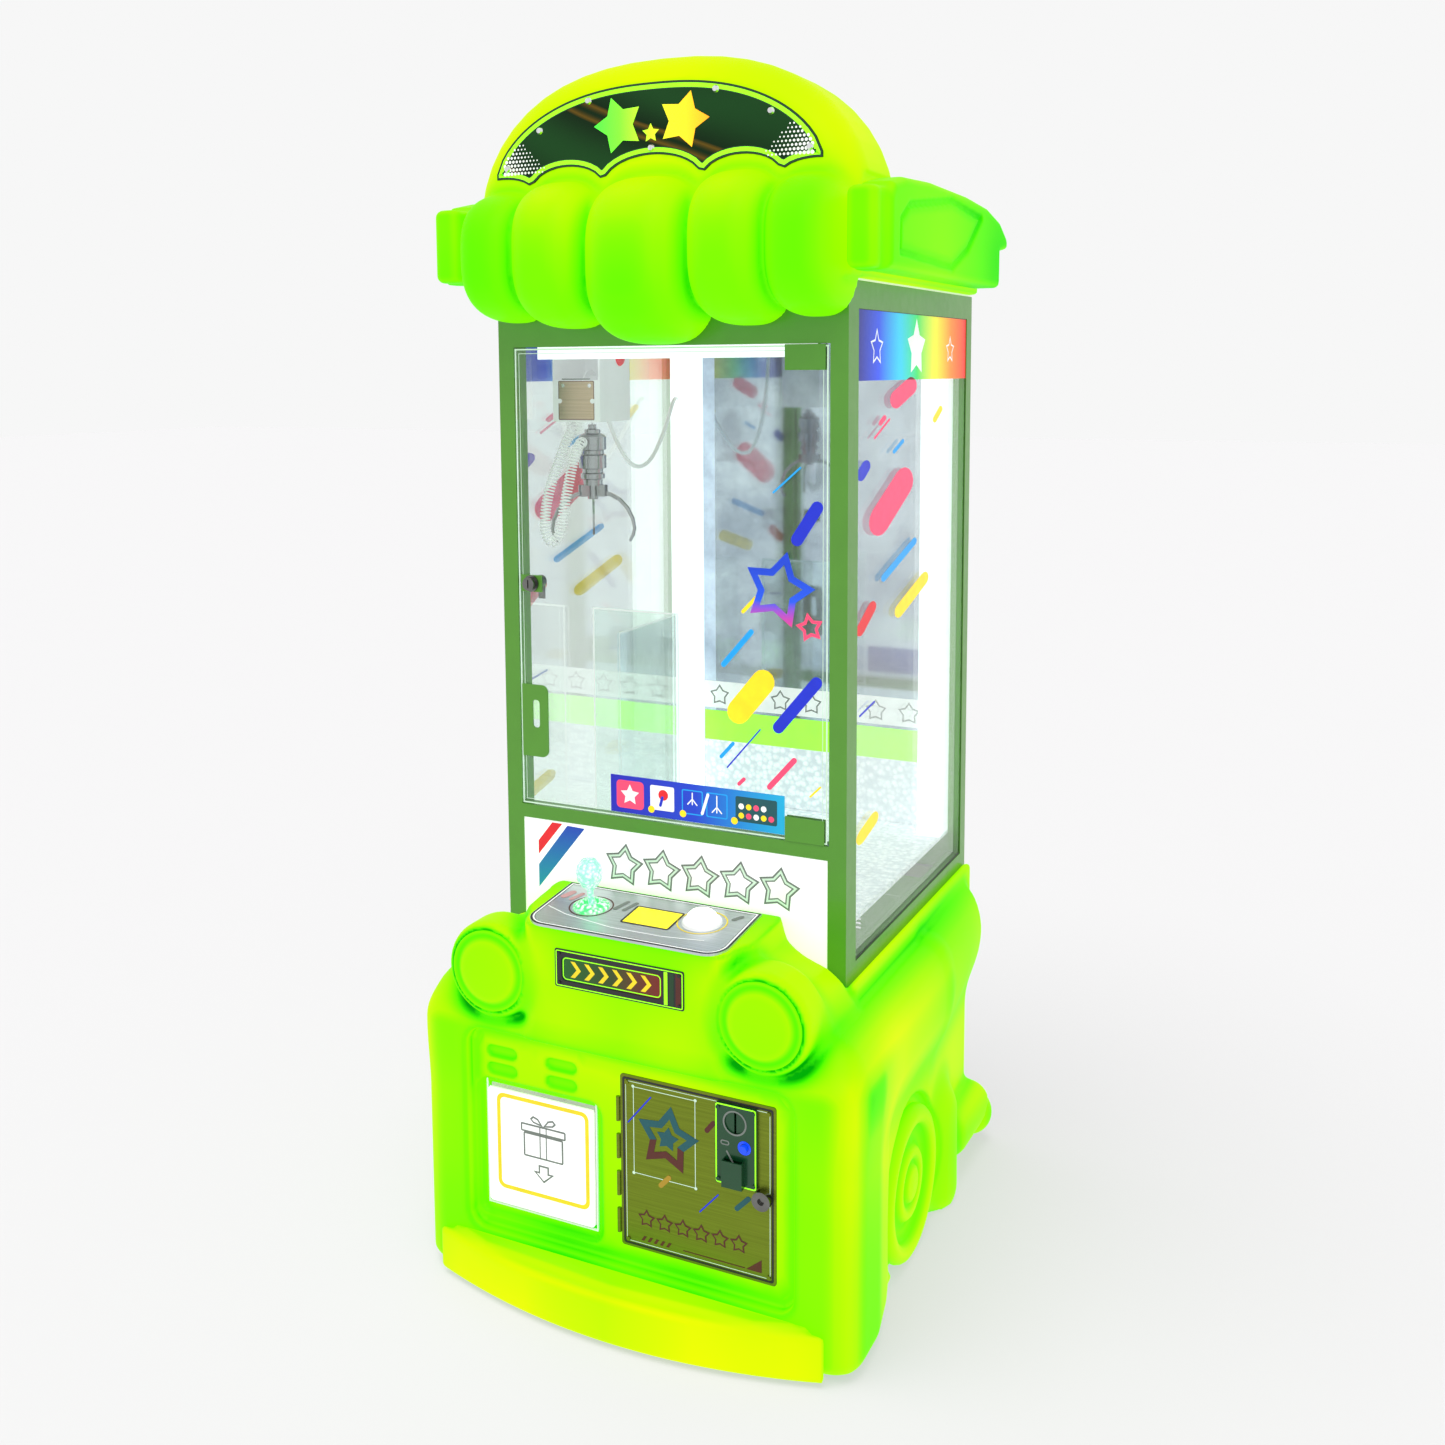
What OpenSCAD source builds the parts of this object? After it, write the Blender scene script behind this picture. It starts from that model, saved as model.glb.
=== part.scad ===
// Claw crane machine with a moulded car-shaped base and a moulded canopy.
// Units are millimetres, +Z is up, the front faces -Y.
// The origin is on the floor, at the centre of the machine's footprint.

/* [Overall] */
// Cabinet width over the steel frame
cab_w = 620; // [600:5:660]
// Cabinet depth over the steel frame
cab_d = 658; // [650:2:700]
// Bumper nose ahead of the cabinet's front face
nose_len = 235; // [235:1:260]
// Rear bumper behind the cabinet's rear face
tail_len = 7; // [7:1:20]
// Height of the cabinet frame's top
frame_top = 1640; // [1600:5:1700]
// Height of the canopy dome above the frame
dome_rise = 350; // [340:1:365]

/* [Body shell] */
// Wall of the moulded shells
skin = 5; // [4:0.5:7]
// Half width of the front fenders
fender_x = 393; // [386:1:405]
// Half width of the rear quarters
quarter_x = 372; // [368:1:380]
// Depth of the front fascia recess
recess_d = 23; // [18:1:26]
// Height of the hood's deck at its rear edge
deck_z = 651; // [645:1:655]
// Tilt of the control deck
deck_tilt = 5; // [4:0.5:6]
// Headlight pod radius
pod_r = 79; // [72:1:82]
// Wheel cover radius
wheel_r = 130; // [115:1:131]

/* [Cabinet] */
// Steel frame thickness
frame_t = 25; // [20:1:30]
// Bottom edge of the door glass
door_z0 = 772; // [765:1:780]
// Height of the door glass
door_h = 772; // [740:1:774]
// Half width of the door glass
door_x = 279; // [270:1:279]
// Glass thickness
glass_t = 6; // [5:0.5:6.5]
// Door swing clearance to the frame
door_gap = 2; // [1.5:0.5:2.5]
// Top of the playfield floor
floor_z = 618; // [610:1:624]

/* [Crane] */
// Claw axis, left of the centre line
claw_x = -208; // [-208:1:-190]
// Claw axis behind the cabinet's front face
claw_y = 130; // [125:1:150]
// Linear rod radius for the bridge
rail_r = 8; // [7:0.5:9]
// Linear rod radius for the trolley
beam_r = 7; // [6:0.5:8]
// Running clearance of the bearings, on the radius
run_fit = 0.06; // [0.03:0.01:0.1]
// Hoist drum radius
drum_r = 18; // [15:1:19]

/* [Doors and controls] */
// Coin door width
coin_w = 271; // [260:1:275]
// Coin door height
coin_h = 285; // [270:1:288]
// Prize flap width
flap_w = 201; // [180:1:201]
// Prize flap height
flap_h = 198; // [180:1:198]
// Push button cap radius
button_r = 25; // [22:1:26]
// Gap between a flush moving panel and its opening
panel_gap = 1.5; // [1:0.5:2]

/* [Hidden] */
$fn = 48;
eps = 0.01;
cx = cab_w / 2;
px = cx - 31;
front_y = -(nose_len + cab_d + tail_len) / 2 + nose_len;
back_y = cab_d;
shell_y = -170;
recess_y = shell_y + recess_d;
total_h = frame_top + dome_rise;
ring_z = 540;
sheet = 2;
hood_w = 185;
wheel_y = 198;
wheel_z = 133;
pod_x = 240;
pod_z = 543;
rail_x = cx - 41;
rail_z = frame_top - 30;
beam_z = rail_z - 32;
beam_dy = 36;
flap_x = -163.5;
flap_z = 331;
coin_x0 = -15;
coin_z0 = 123;
lock_x = 235;
lock_z = 260;
claw_top = 1415;
prong_z = 1298;
lime = [0.55, 1.0, 0.02];
steel_green = [0.32, 0.55, 0.18];
white = [0.93, 0.94, 0.95];
steel = [0.62, 0.63, 0.65];
clear = [0.8, 0.9, 0.95, 0.35];
dark = [0.06, 0.16, 0.09];

// ---- helpers -------------------------------------------------------------

module datum() {
  translate([0, front_y, 0]) children();
}

module mirror_pair() {
  children();
  mirror([1, 0, 0]) children();
}

module box(x0, x1, y0, y1, z0, z1) {
  translate([x0, y0, z0]) cube([x1 - x0, y1 - y0, z1 - z0]);
}

// A plate facing -Y whose front is at y and whose 2D child is drawn in X and Z.
module face(y, t) {
  translate([0, y + t, 0]) rotate([90, 0, 0]) linear_extrude(t) children();
}

// A plate facing +X from x, whose 2D child is drawn in Y and Z.
module side(x, t) {
  translate([x, 0, 0]) rotate([90, 0, 90]) linear_extrude(t) children();
}

module round_rect(x0, x1, y0, y1, r) {
  translate([x0 + r, y0]) square([x1 - x0 - 2 * r, y1 - y0]);
  translate([x0, y0 + r]) square([x1 - x0, y1 - y0 - 2 * r]);
  for (x = [x0 + r, x1 - r]) {
    for (y = [y0 + r, y1 - r]) {
      translate([x, y]) circle(r);
    }
  }
}

module rod_x(x0, x1, y, z, r) {
  translate([x0, y, z]) rotate([0, 90, 0]) cylinder(r = r, h = x1 - x0);
}

module rod_y(x, y0, y1, z, r) {
  translate([x, y1, z]) rotate([90, 0, 0]) cylinder(r = r, h = y1 - y0);
}

module pillow(x0, x1, y0, y1, z0, z1, r, n = 24) {
  hull() {
    for (x = [x0 + r, x1 - r]) {
      for (y = [y0 + r, y1 - r]) {
        for (z = [z0 + r, z1 - r]) {
          translate([x, y, z]) sphere(r, $fn = n);
        }
      }
    }
  }
}

// A swept tube through points, closed at both ends.
function unit(v) = v / norm(v);
function path_dir(p, i) = unit(p[min(i + 1, len(p) - 1)] - p[max(i - 1, 0)]);
function frame_u(d) = unit(cross(d, abs(d[0]) < 0.9 ? [1, 0, 0] : [0, 1, 0]));
function tube_ring(c, d, r, n) = let (u = frame_u(d), v = cross(d, u))
  [for (k = [0 : n - 1]) c + r * cos(360 * k / n) * u + r * sin(360 * k / n) * v];
module tube(p, r, n = 8) {
  m = len(p);
  pts = [for (i = [0 : m - 1]) each tube_ring(p[i], path_dir(p, i), r, n)];
  sides = [for (i = [0 : m - 2]) for (k = [0 : n - 1])
    [i * n + k, i * n + (k + 1) % n, (i + 1) * n + (k + 1) % n, (i + 1) * n + k]];
  low = [[for (k = [0 : n - 1]) n - 1 - k]];
  high = [[for (k = [0 : n - 1]) (m - 1) * n + k]];
  polyhedron(points = pts, faces = concat(sides, low, high), convexity = 6);
}
function catmull(a, b, c, d, t) = 0.5 * ((2 * b) + (c - a) * t + (2 * a - 5 * b + 4 * c - d) * t * t
  + (3 * b - a - 3 * c + d) * t * t * t);
function smooth_path(p, s) = [for (i = [0 : len(p) - 2]) for (k = [0 : s - 1])
  catmull(p[max(i - 1, 0)], p[i], p[i + 1], p[min(i + 2, len(p) - 1)], k / s),
  p[len(p) - 1]];

module deck() {
  translate([0, -15, deck_z]) rotate([deck_tilt, 0, 0]) children();
}

// ---- moulded base --------------------------------------------------------

module corner_col(x, y, r, z0, z1) {
  translate([x, y, z0]) cylinder(r1 = r - 2, r2 = r, h = 8);
  translate([x, y, z1 - 30]) cylinder(r1 = r, r2 = r - 22, h = 30);
}

module lower_mass(t) {
  hull() {
    for (s = [-1, 1]) {
      corner_col(s * (fender_x - 70), shell_y + 70, 70 - t, 8, 462 - t);
      corner_col(s * (quarter_x - 70), back_y - 3 - 70, 70 - t, 8, 440 - t);
    }
  }
}

module flank_mass(s, t) {
  hull() {
    for (q = [[328, -95, 442, 58], [332, 60, 430, 58], [332, 420, 432, 58], [326, 592, 436, 58]]) {
      translate([s * (q[0] + cx - 310), q[1], q[2]]) scale([1, 1, 1.6])
        sphere(q[3] - t, $fn = t > 0 ? 16 : 28);
    }
  }
}

function hood_line(t) = [[0, 660 - t], [hood_w - t, 660 - t], [203 - t, 636 - t], [222 - t, 610 - t],
  [250 - t, 592 - t], [284 - t, 577 - t], [cx - 4 - t, 556 - t], [cx + 16 - t, 530 - t],
  [cx + 20 - t, 400], [0, 400]];

module hood_mass(t) {
  for (s = [0, 1]) {
    mirror([s, 0, 0]) {
      face(-112 + t, 772 - 2 * t) polygon(hood_line(t));
    }
  }
  hull() {
    for (s = [-1, 1]) {
      translate([s * (hood_w - 36), -137, 400]) cylinder(r = 35 - t, h = 260 - t);
      translate([s * (hood_w - 20), -30, 400]) cylinder(r = 20 - t, h = 260 - t);
      translate([s * (hood_w + 10), -100, 400]) cylinder(r = 40 - t, h = 150 - t);
    }
  }
}

module pod_mass(s, t) {
  hull() {
    rod_y(s * pod_x, shell_y - 6 + 2.4 * t, -120, pod_z, pod_r - t);
    translate([s * (pod_x + 18), -40, 520]) sphere(58 - t, $fn = t > 0 ? 16 : 28);
  }
}

module shell_mass(t) {
  lower_mass(t);
  for (s = [-1, 1]) {
    flank_mass(s, t);
    pod_mass(s, t);
  }
  hood_mass(t);
}

module recess_pan() {
  hull() {
    for (x = [-260, 260]) {
      for (z = [122, 408]) {
        rod_y(x, shell_y + 1, recess_y + skin, z, 30 + skin);
      }
    }
  }
}

module recess_cut() {
  hull() {
    for (x = [-260, 260]) {
      for (z = [122, 408]) {
        rod_y(x, shell_y - 20, recess_y, z, 30);
      }
    }
  }
  hull() {
    for (x = [-246, -81]) {
      for (z = [147, 317]) {
        rod_y(x, shell_y, recess_y + 3, z, 24);
      }
    }
  }
  for (x = [-236, -122]) {
    for (z = [364, 394]) {
      hull() {
        rod_y(x - 20, shell_y, recess_y + 3, z, 8);
        rod_y(x + 20, shell_y, recess_y + 3, z, 8);
      }
    }
  }
}

module base_shell() {
  color(lime) datum() difference() {
    union() {
      difference() {
        shell_mass(0);
        translate([0, 0, -skin]) shell_mass(skin);
        box(-cx - 10, cx + 10, 0, back_y + 20, 20, 700);
      }
      // pan behind the recess, wheel arch pans and the lip along the window rail
      recess_pan();
      intersection() {
        lower_mass(0);
        for (s = [-1, 1]) {
          rod_x(s > 0 ? 333 : -420, s > 0 ? 420 : -333, wheel_y, wheel_z, wheel_r + 21);
        }
      }
      for (s = [-1, 1]) {
        translate([s * (cx + 6), 0, 0]) box(-5.5, 5.5, 2, back_y - 5, 420, 548);
      }
    }
    recess_cut();
    box(-600, 600, -400, 900, -50, 8);
    // flat top of the deck, and the hole under the control panel
    deck() box(-400, 400, -400, 14.9, -4, 90);
    box(-400, 400, -3, 900, deck_z - 4, 900);
    box(-cx - 0.5, cx + 0.5, 0, 900, 500, 900);
    deck() box(-150, 150, -140, -18, -60, 10);
    // openings for the prize outlet, the coin door and the nameplate
    box(flap_x - flap_w / 2 - panel_gap, flap_x + flap_w / 2 + panel_gap, -190, recess_y + 30,
      flap_z - flap_h - 3, flap_z + 3);
    box(coin_x0 + 14, coin_x0 + coin_w - 8, -190, recess_y + 30, coin_z0 + 14,
      coin_z0 + coin_h - 14);
    box(-114, 114, -190, -169, 541, 603);
    // wheel arches, headlight bores and the rear
    for (s = [-1, 1]) {
      rod_x(s > 0 ? 338 : -500, s > 0 ? 500 : -338, wheel_y, wheel_z, wheel_r + 16);
      rod_y(s * pod_x, -300, shell_y + 2, pod_z, pod_r - 12);
    }
    box(-300, 300, back_y - 90, back_y + 40, 20, 560);
    rear_bumper_mass(0.3);
    box(-600, 600, back_y - 5, back_y + 200, 0, 800);
  }
}

function bumper_front(x) = -nose_len + 57 * pow(x / 343, 2);

module front_bumper() {
  n = 28;
  outer = [for (i = [0 : n]) let (x = -343 + 686 * i / n) [x, bumper_front(x)]];
  inner = [for (i = [0 : n]) let (x = 337 - 674 * i / n) [x, min(shell_y - 0.4, bumper_front(x) + 34)]];
  lip = [for (i = [0 : n]) let (x = -339 + 678 * i / n) [x, bumper_front(x) + 6]];
  back = [for (p = inner) p];
  color(lime) datum() {
    translate([0, 0, 12]) linear_extrude(66) polygon(concat(outer, inner));
    translate([0, 0, 6]) linear_extrude(6) polygon(concat(lip, back));
    translate([0, 0, 78]) linear_extrude(8) polygon(concat(lip, back));
    translate([0, 0, 70]) linear_extrude(18) polygon([[-300, shell_y - 0.4], [-250, -202], [0, -212],
      [250, -202], [300, shell_y - 0.4]]);
  }
}

module rear_bumper_mass(t) {
  y = back_y + tail_len - 45;
  hull() {
    for (s = [-1, 1]) {
      translate([s * 336, y, 30 - t]) cylinder(r = 45 + t, h = 50 + 2 * t);
      translate([s * 336, y, 12 - t]) cylinder(r = 36 + t, h = 86 + 2 * t);
      translate([s * 336, y, 60]) cylinder(r = 24 + t, h = 52 + t);
    }
  }
}

module rear_bumper() {
  color(lime) datum() difference() {
    rear_bumper_mass(0);
    box(-330, 330, 0, back_y + 0.2, -10, 200);
  }
}

module wheel_cover() {
  rotate([0, 90, 0]) rotate_extrude($fn = 72) polygon([[0, 0], [wheel_r - 6, 0], [wheel_r, 8],
    [wheel_r, 17], [wheel_r - 8, 24], [wheel_r - 24, 25], [wheel_r - 33, 20], [wheel_r - 36, 10],
    [70, 8], [62, 14], [56, 20], [44, 20], [38, 14], [34, 14], [30, 22], [0, 24]]);
}

module wheel_covers() {
  color(lime) datum() mirror_pair() {
    translate([338, wheel_y, wheel_z]) wheel_cover();
  }
}

module headlights() {
  color(lime) datum() mirror_pair() {
    translate([pod_x, shell_y - 6, pod_z]) rotate([-90, 0, 0]) rotate_extrude($fn = 72) polygon([
      [0, 3], [pod_r - 20, 5], [pod_r - 15, 2], [pod_r - 12.4, 4], [pod_r - 12.4, 8], [0, 8]]);
  }
}

// ---- base interior ---------------------------------------------------------

module base_frame() {
  color(steel) datum() {
    difference() {
      box(-300, 300, -120, back_y - 10, 16, 34);
      box(-300 + sheet, 300 - sheet, -120 + sheet, back_y - 12, 18, 40);
    }
    for (x = [-299, 272]) {
      for (y = [1, back_y - 40]) {
        box(x, x + 27, y, y + 27, 18, 515);
      }
    }
    difference() {
      box(-300, 300, 0.5, back_y - 8, 515, ring_z);
      box(-274, 274, 26, back_y - 34, 510, 550);
    }
  }
}

module levelling_feet() {
  color(dark) datum() {
    for (x = [-250, 250]) {
      for (y = [-80, back_y - 60]) {
        translate([x, y, 0]) cylinder(r = 26, h = 7);
        translate([x, y, 7]) cylinder(r = 8, h = 9);
      }
    }
  }
}

module cash_box() {
  color(steel) datum() difference() {
    box(0, 230, -90, 90, 18, 118);
    box(2, 228, -88, 88, 20, 130);
  }
}

module power_supply() {
  color(steel) datum() difference() {
    box(60, 260, 330, 440, 18, 70);
    for (i = [0 : 6]) {
      box(80 + 24 * i, 92 + 24 * i, 350, 420, 66, 80);
    }
  }
}

module chute_profile_x(t) {
  polygon([[-270 + t, 125 + t], [-60 - t, 125 + t], [-60 - t, 345 - t], [-106 - t, 410 - t],
    [-106 - t, floor_z - 6 + 50 * t], [-270 + t, floor_z - 6 + 50 * t]]);
}

module chute_profile_y(t) {
  polygon([[recess_y + skin + 1 - 50 * t, 125 + t], [60 - t, 125 + t], [244 - t, 400 + t],
    [244 - t, floor_z - 6 + 50 * t], [26.5 + t, floor_z - 6 + 50 * t], [26.5 + t, 362 - t],
    [recess_y + skin + 1 - 50 * t, 345 - t]]);
}

module chute_solid(t) {
  intersection() {
    face(-300, 700) chute_profile_x(t);
    side(-300, 300) chute_profile_y(t);
  }
}

module prize_chute() {
  color(steel) datum() difference() {
    chute_solid(0);
    chute_solid(sheet);
  }
}

// ---- cabinet ---------------------------------------------------------------

module front_frame() {
  color(steel_green) datum() difference() {
    face(0, frame_t) difference() {
      translate([-cx, ring_z]) square([2 * cx, frame_top - ring_z]);
      translate([-door_x - door_gap, door_z0 - door_gap])
        square([2 * (door_x + door_gap), door_h + 2 * door_gap]);
      translate([-door_x, 560]) square([2 * door_x, 187]);
    }
    // sockets of the door's pivot pins
    for (z = [door_z0 - door_gap - 6, door_z0 + door_h + door_gap - 1]) {
      translate([door_px, door_y, z]) cylinder(r = 2.26, h = 7, $fn = 24);
    }
  }
}

module side_frame(s) {
  x0 = s > 0 ? cx - 25 : -cx;
  color(steel_green) datum() side(x0, 25) difference() {
    translate([frame_t, ring_z]) square([back_y - 2 * frame_t, frame_top - ring_z]);
    translate([44, 574]) square([back_y - 31 - 44, frame_top - 42 - 574]);
  }
}

module side_frame_left() {
  side_frame(-1);
}

module side_frame_right() {
  side_frame(1);
}

module side_glass(s) {
  x0 = s > 0 ? cx - 7 : -cx + 7 - 5;
  color(clear) datum() box(x0, x0 + 5, 44, back_y - 31, 574, frame_top - 42);
}

module side_glass_left() {
  side_glass(-1);
}

module side_glass_right() {
  side_glass(1);
}

module rear_panel() {
  color(steel_green) datum() difference() {
    box(-cx, cx, back_y - frame_t, back_y, ring_z, frame_top);
    box(-cx + 20, cx - 20, back_y - frame_t + sheet, back_y + 5, ring_z + 25, frame_top - 25);
  }
}

module rear_mirror() {
  color(steel) datum() box(-239, 239, back_y - frame_t - 3, back_y - frame_t, floor_z + 1, 1560);
}

module light_posts() {
  color(white) datum() mirror_pair() {
    difference() {
      box(240, cx - 26, back_y - 85, back_y - frame_t, floor_z, 1592);
      box(246, cx - 32, back_y - 79, back_y - 31, floor_z + 6, 1586);
    }
  }
}

module led_bar() {
  color(white) datum() {
    box(-250, 250, frame_t, frame_t + 3, 1526, 1600);
    difference() {
      box(-240, 240, frame_t + 3, frame_t + 15, 1528, 1542);
      box(-236, 236, frame_t + 3, frame_t + 12, 1531, 1539);
    }
  }
}

module playfield() {
  color(white) datum() difference() {
    box(-cx + 25, cx - 25, frame_t, back_y - frame_t, floor_z - 6, floor_z);
    box(-268, -108, 28.5, 242, floor_z - 20, floor_z + 20);
  }
}

module chute_guard() {
  color(clear) datum() {
    box(-107, -103, 28, 246, floor_z, 1075);
    box(-278, -107, 242, 246, floor_z, 1075);
  }
}

module lower_panel() {
  color(white) datum() {
    box(-door_x, door_x, 2, 6, 560, 747);
    box(-door_x, door_x, 6, 20, 560, 563);
  }
}

module roof_plate() {
  color(steel) datum() difference() {
    box(-cx, cx, 0, back_y, frame_top, frame_top + 3);
    for (x = [-120, 120]) {
      translate([x, 400, frame_top - 1]) cylinder(r = 40, h = 6);
    }
  }
}

// ---- canopy ----------------------------------------------------------------

// centre x, half width, bottom, top, front of each moulded puff
puffs = [[0, 93, 1547, 1801, -145], [152, 68, 1574, 1803, -138], [270, 60, 1587, 1791, -126]];
canopy_z = frame_top + 3;

module puff(p, t) {
  r = min(62, p[1] - 2);
  lift = frame_top - 1640;
  n = t > 0 ? 12 : 20;
  hull() {
    for (s = [-1, 1]) {
      translate([p[0] + s * (p[1] - r), p[4] + r, p[2] + 66 + lift]) scale([1, 1, 1.06])
        sphere(r - t, $fn = n);
      translate([p[0] + s * (p[1] - r), p[4] + r + 3, p[3] - 66 + lift]) scale([1, 1, 1.06])
        sphere(r - t, $fn = n);
      translate([p[0] + s * (p[1] - r), 0, p[3] - 74 + lift]) sphere(r - t, $fn = n);
    }
  }
}

function dome_x(a) = 270 * (cos(a) < 0 ? -1 : 1) * pow(abs(cos(a)), 0.82);
function dome_z(a) = (dome_rise - 160) * pow(abs(sin(a)), 0.86);

module dome_mass(t) {
  hull() {
    for (i = [0 : 12]) {
      a = 180 * i / 12;
      for (y = [-35 + 72, 93]) {
        translate([dome_x(a), y, frame_top + 88 + dome_z(a)]) sphere(72 - t, $fn = t > 0 ? 12 : 20);
      }
    }
  }
}

module roof_mass(t) {
  hull() {
    for (x = [-290, 290]) {
      for (y = [-40, back_y - 43]) {
        translate([x, y, canopy_z - 10]) cylinder(r = 40 - t, h = 10);
        translate([x, y, canopy_z + 92]) sphere(40 - t, $fn = t > 0 ? 12 : 24);
      }
    }
  }
}

module canopy_mass(t) {
  lift = frame_top - 1640;
  difference() {
    union() {
      roof_mass(t);
      dome_mass(t);
      puff(puffs[0], t);
      for (s = [0, 1]) {
        mirror([s, 0, 0]) {
          puff(puffs[1], t);
          puff(puffs[2], t);
        }
      }
    }
    // flat seats for the side ornaments
    for (s = [0, 1]) {
      mirror([s, 0, 0]) box(330.6 - t, 420, -130 - t, back_y, 1630 + lift, 1797 + lift + t);
    }
  }
}

module canopy_shell() {
  color(lime) datum() difference() {
    canopy_mass(0);
    canopy_mass(skin);
    box(-500, 500, -0.5, 1000, 1000, canopy_z);
    // flat seat and slot for the header panel
    box(-300, 300, -60, -32.8, 1836 + frame_top - 1640, 2100);
    box(-283, 283, -36.2, -32.8, 1789 + frame_top - 1640, 1840 + frame_top - 1640);
  }
}

thumb_line = [[-44, 1650], [560, 1650], [562, 1714], [618, 1722], [606, 1744], [560, 1768],
  [480, 1784], [360, 1791], [160, 1793], [30, 1787], [-16, 1778], [-40, 1756]];
thumb_cap = [[-34, 1656], [548, 1656], [552, 1722], [598, 1728], [590, 1738], [552, 1757],
  [476, 1772], [358, 1779], [160, 1781], [34, 1776], [-8, 1768], [-32, 1750]];
nail_out = [[2, 1676], [4, 1723], [45, 1748], [260, 1777], [436, 1762], [352, 1702], [262, 1668]];
nail_in = [[10, 1682], [12, 1719], [52, 1740], [258, 1768], [412, 1756], [342, 1708], [258, 1677]];

module thumb() {
  difference() {
    union() {
      hull() {
        side(331, 46) polygon(thumb_line);
        side(370, 20) polygon(thumb_cap);
      }
      hull() {
        for (z = [1650, 1746]) {
          translate([350, -62, z]) cylinder(r = 19, h = 20);
          translate([362, -62, z]) cylinder(r = 20, h = 20);
          translate([346, -20, z]) cylinder(r = 15, h = 20);
          translate([366, -20, z]) cylinder(r = 15, h = 20);
        }
      }
    }
    side(387, 10) difference() {
      polygon(nail_out);
      polygon(nail_in);
    }
    translate([390, -51, 1640]) cylinder(r = 10, h = 200, $fn = 24);
    box(340, 372, -20, 540, 1640, 1750);
  }
}

module thumb_right() {
  color(lime) datum() translate([0, 0, frame_top - 1640]) thumb();
}

module thumb_left() {
  color(lime) datum() translate([0, 0, frame_top - 1640]) mirror([1, 0, 0]) thumb();
}

function header_top(x) = 1816 + 128 * pow(max(0, 1 - pow(abs(x) / 283, 2.4)), 0.62);
function scallop(x, c, w, z, h) = abs(x - c) < w ? z + h * sqrt(1 - pow((x - c) / w, 2)) : 0;
function header_low(x) = max(1792, scallop(x, 0, 87, 1792, 44), scallop(x, 151, 66, 1792, 35),
  scallop(x, -151, 66, 1792, 35), scallop(x, 272, 57, 1792, 22), scallop(x, -272, 57, 1792, 22));

module header_panel() {
  n = 56;
  top = [for (i = [0 : n]) let (x = -282 + 564 * i / n) [x, header_top(x)]];
  low = [for (i = [0 : n]) let (x = 282 - 564 * i / n) [x, min(header_low(x), header_top(x) - 2)]];
  color(dark) datum() translate([0, 0, frame_top - 1640]) face(-36, 3) polygon(concat(top, low));
}

module header_screws() {
  color(steel) datum() translate([0, 0, frame_top - 1640]) {
    for (p = [[-262, 1830], [262, 1830], [-110, 1925], [110, 1925], [0, 1846], [200, 1886], [-200, 1886]]) {
      translate([p[0], -36, p[1]]) rotate([90, 0, 0]) cylinder(r1 = 6, r2 = 4, h = 3, $fn = 24);
    }
  }
}

// ---- front door ------------------------------------------------------------

door_px = door_x - 17;
door_y = glass_t / 2;

module door_glass() {
  color(clear) datum() difference() {
    box(-door_x, door_x, 0, glass_t, door_z0, door_z0 + door_h);
    rod_y(-252, -5, 20, 1153, 11.1);
  }
}

module door_clamps() {
  color(steel_green) datum() {
    for (k = [0, 1]) {
      z = k * (door_z0 + door_h - 38) + (1 - k) * door_z0;
      e = k * (door_z0 + door_h) + (1 - k) * (door_z0 - 1);
      box(208, 274, -2.5, 0, z, z + 38);
      box(208, 274, glass_t, glass_t + 2.5, z, z + 38);
      box(208, 274, -2.5, glass_t + 2.5, e, e + 1);
      translate([door_px, door_y, e - 6 * (1 - k)]) cylinder(r = 2.2, h = 7, $fn = 24);
    }
  }
}

module door_plates() {
  color(steel_green) datum() {
    face(-3, 3) difference() {
      union() {
        translate([-275, 856]) square([30, 124]);
        round_rect(-262, -225, 856, 980, 12);
      }
      round_rect(-255, -241, 906, 954, 6);
    }
    face(-3, 3) difference() {
      translate([-273, 1139]) square([40, 28]);
      translate([-252, 1153]) circle(11.1);
    }
  }
}

module door_lock_plug() {
  color(steel) datum() {
    difference() {
      union() {
        rod_y(-252, -15, frame_t + 2, 1153, 11);
        rod_y(-252, -6, -3, 1153, 14);
      }
      box(-253.2, -250.8, -17, -12, 1146, 1160);
    }
    box(-258, -246, frame_t + 2, frame_t + 5, 1123, 1160);
  }
}

// ---- fascia ----------------------------------------------------------------

module prize_flap() {
  hw = flap_w / 2;
  color(white) datum() {
    face(recess_y + 0.5, 4) round_rect(flap_x - hw, flap_x + hw, flap_z - flap_h, flap_z, 6);
    difference() {
      face(recess_y - 1.5, 2) round_rect(flap_x - hw + 18, flap_x + hw - 6, flap_z - flap_h + 28,
        flap_z - 4, 14);
      face(recess_y - 3, 5) round_rect(flap_x - hw + 26, flap_x + hw - 14, flap_z - flap_h + 36,
        flap_z - 12, 8);
    }
    rod_y(flap_x + 22, recess_y - 3.5, recess_y + 0.5, flap_z - flap_h + 46, 6);
    rod_x(flap_x - hw + 2, flap_x + hw - 2, recess_y + 4, flap_z - 2.4, 2.2);
  }
}

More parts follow.
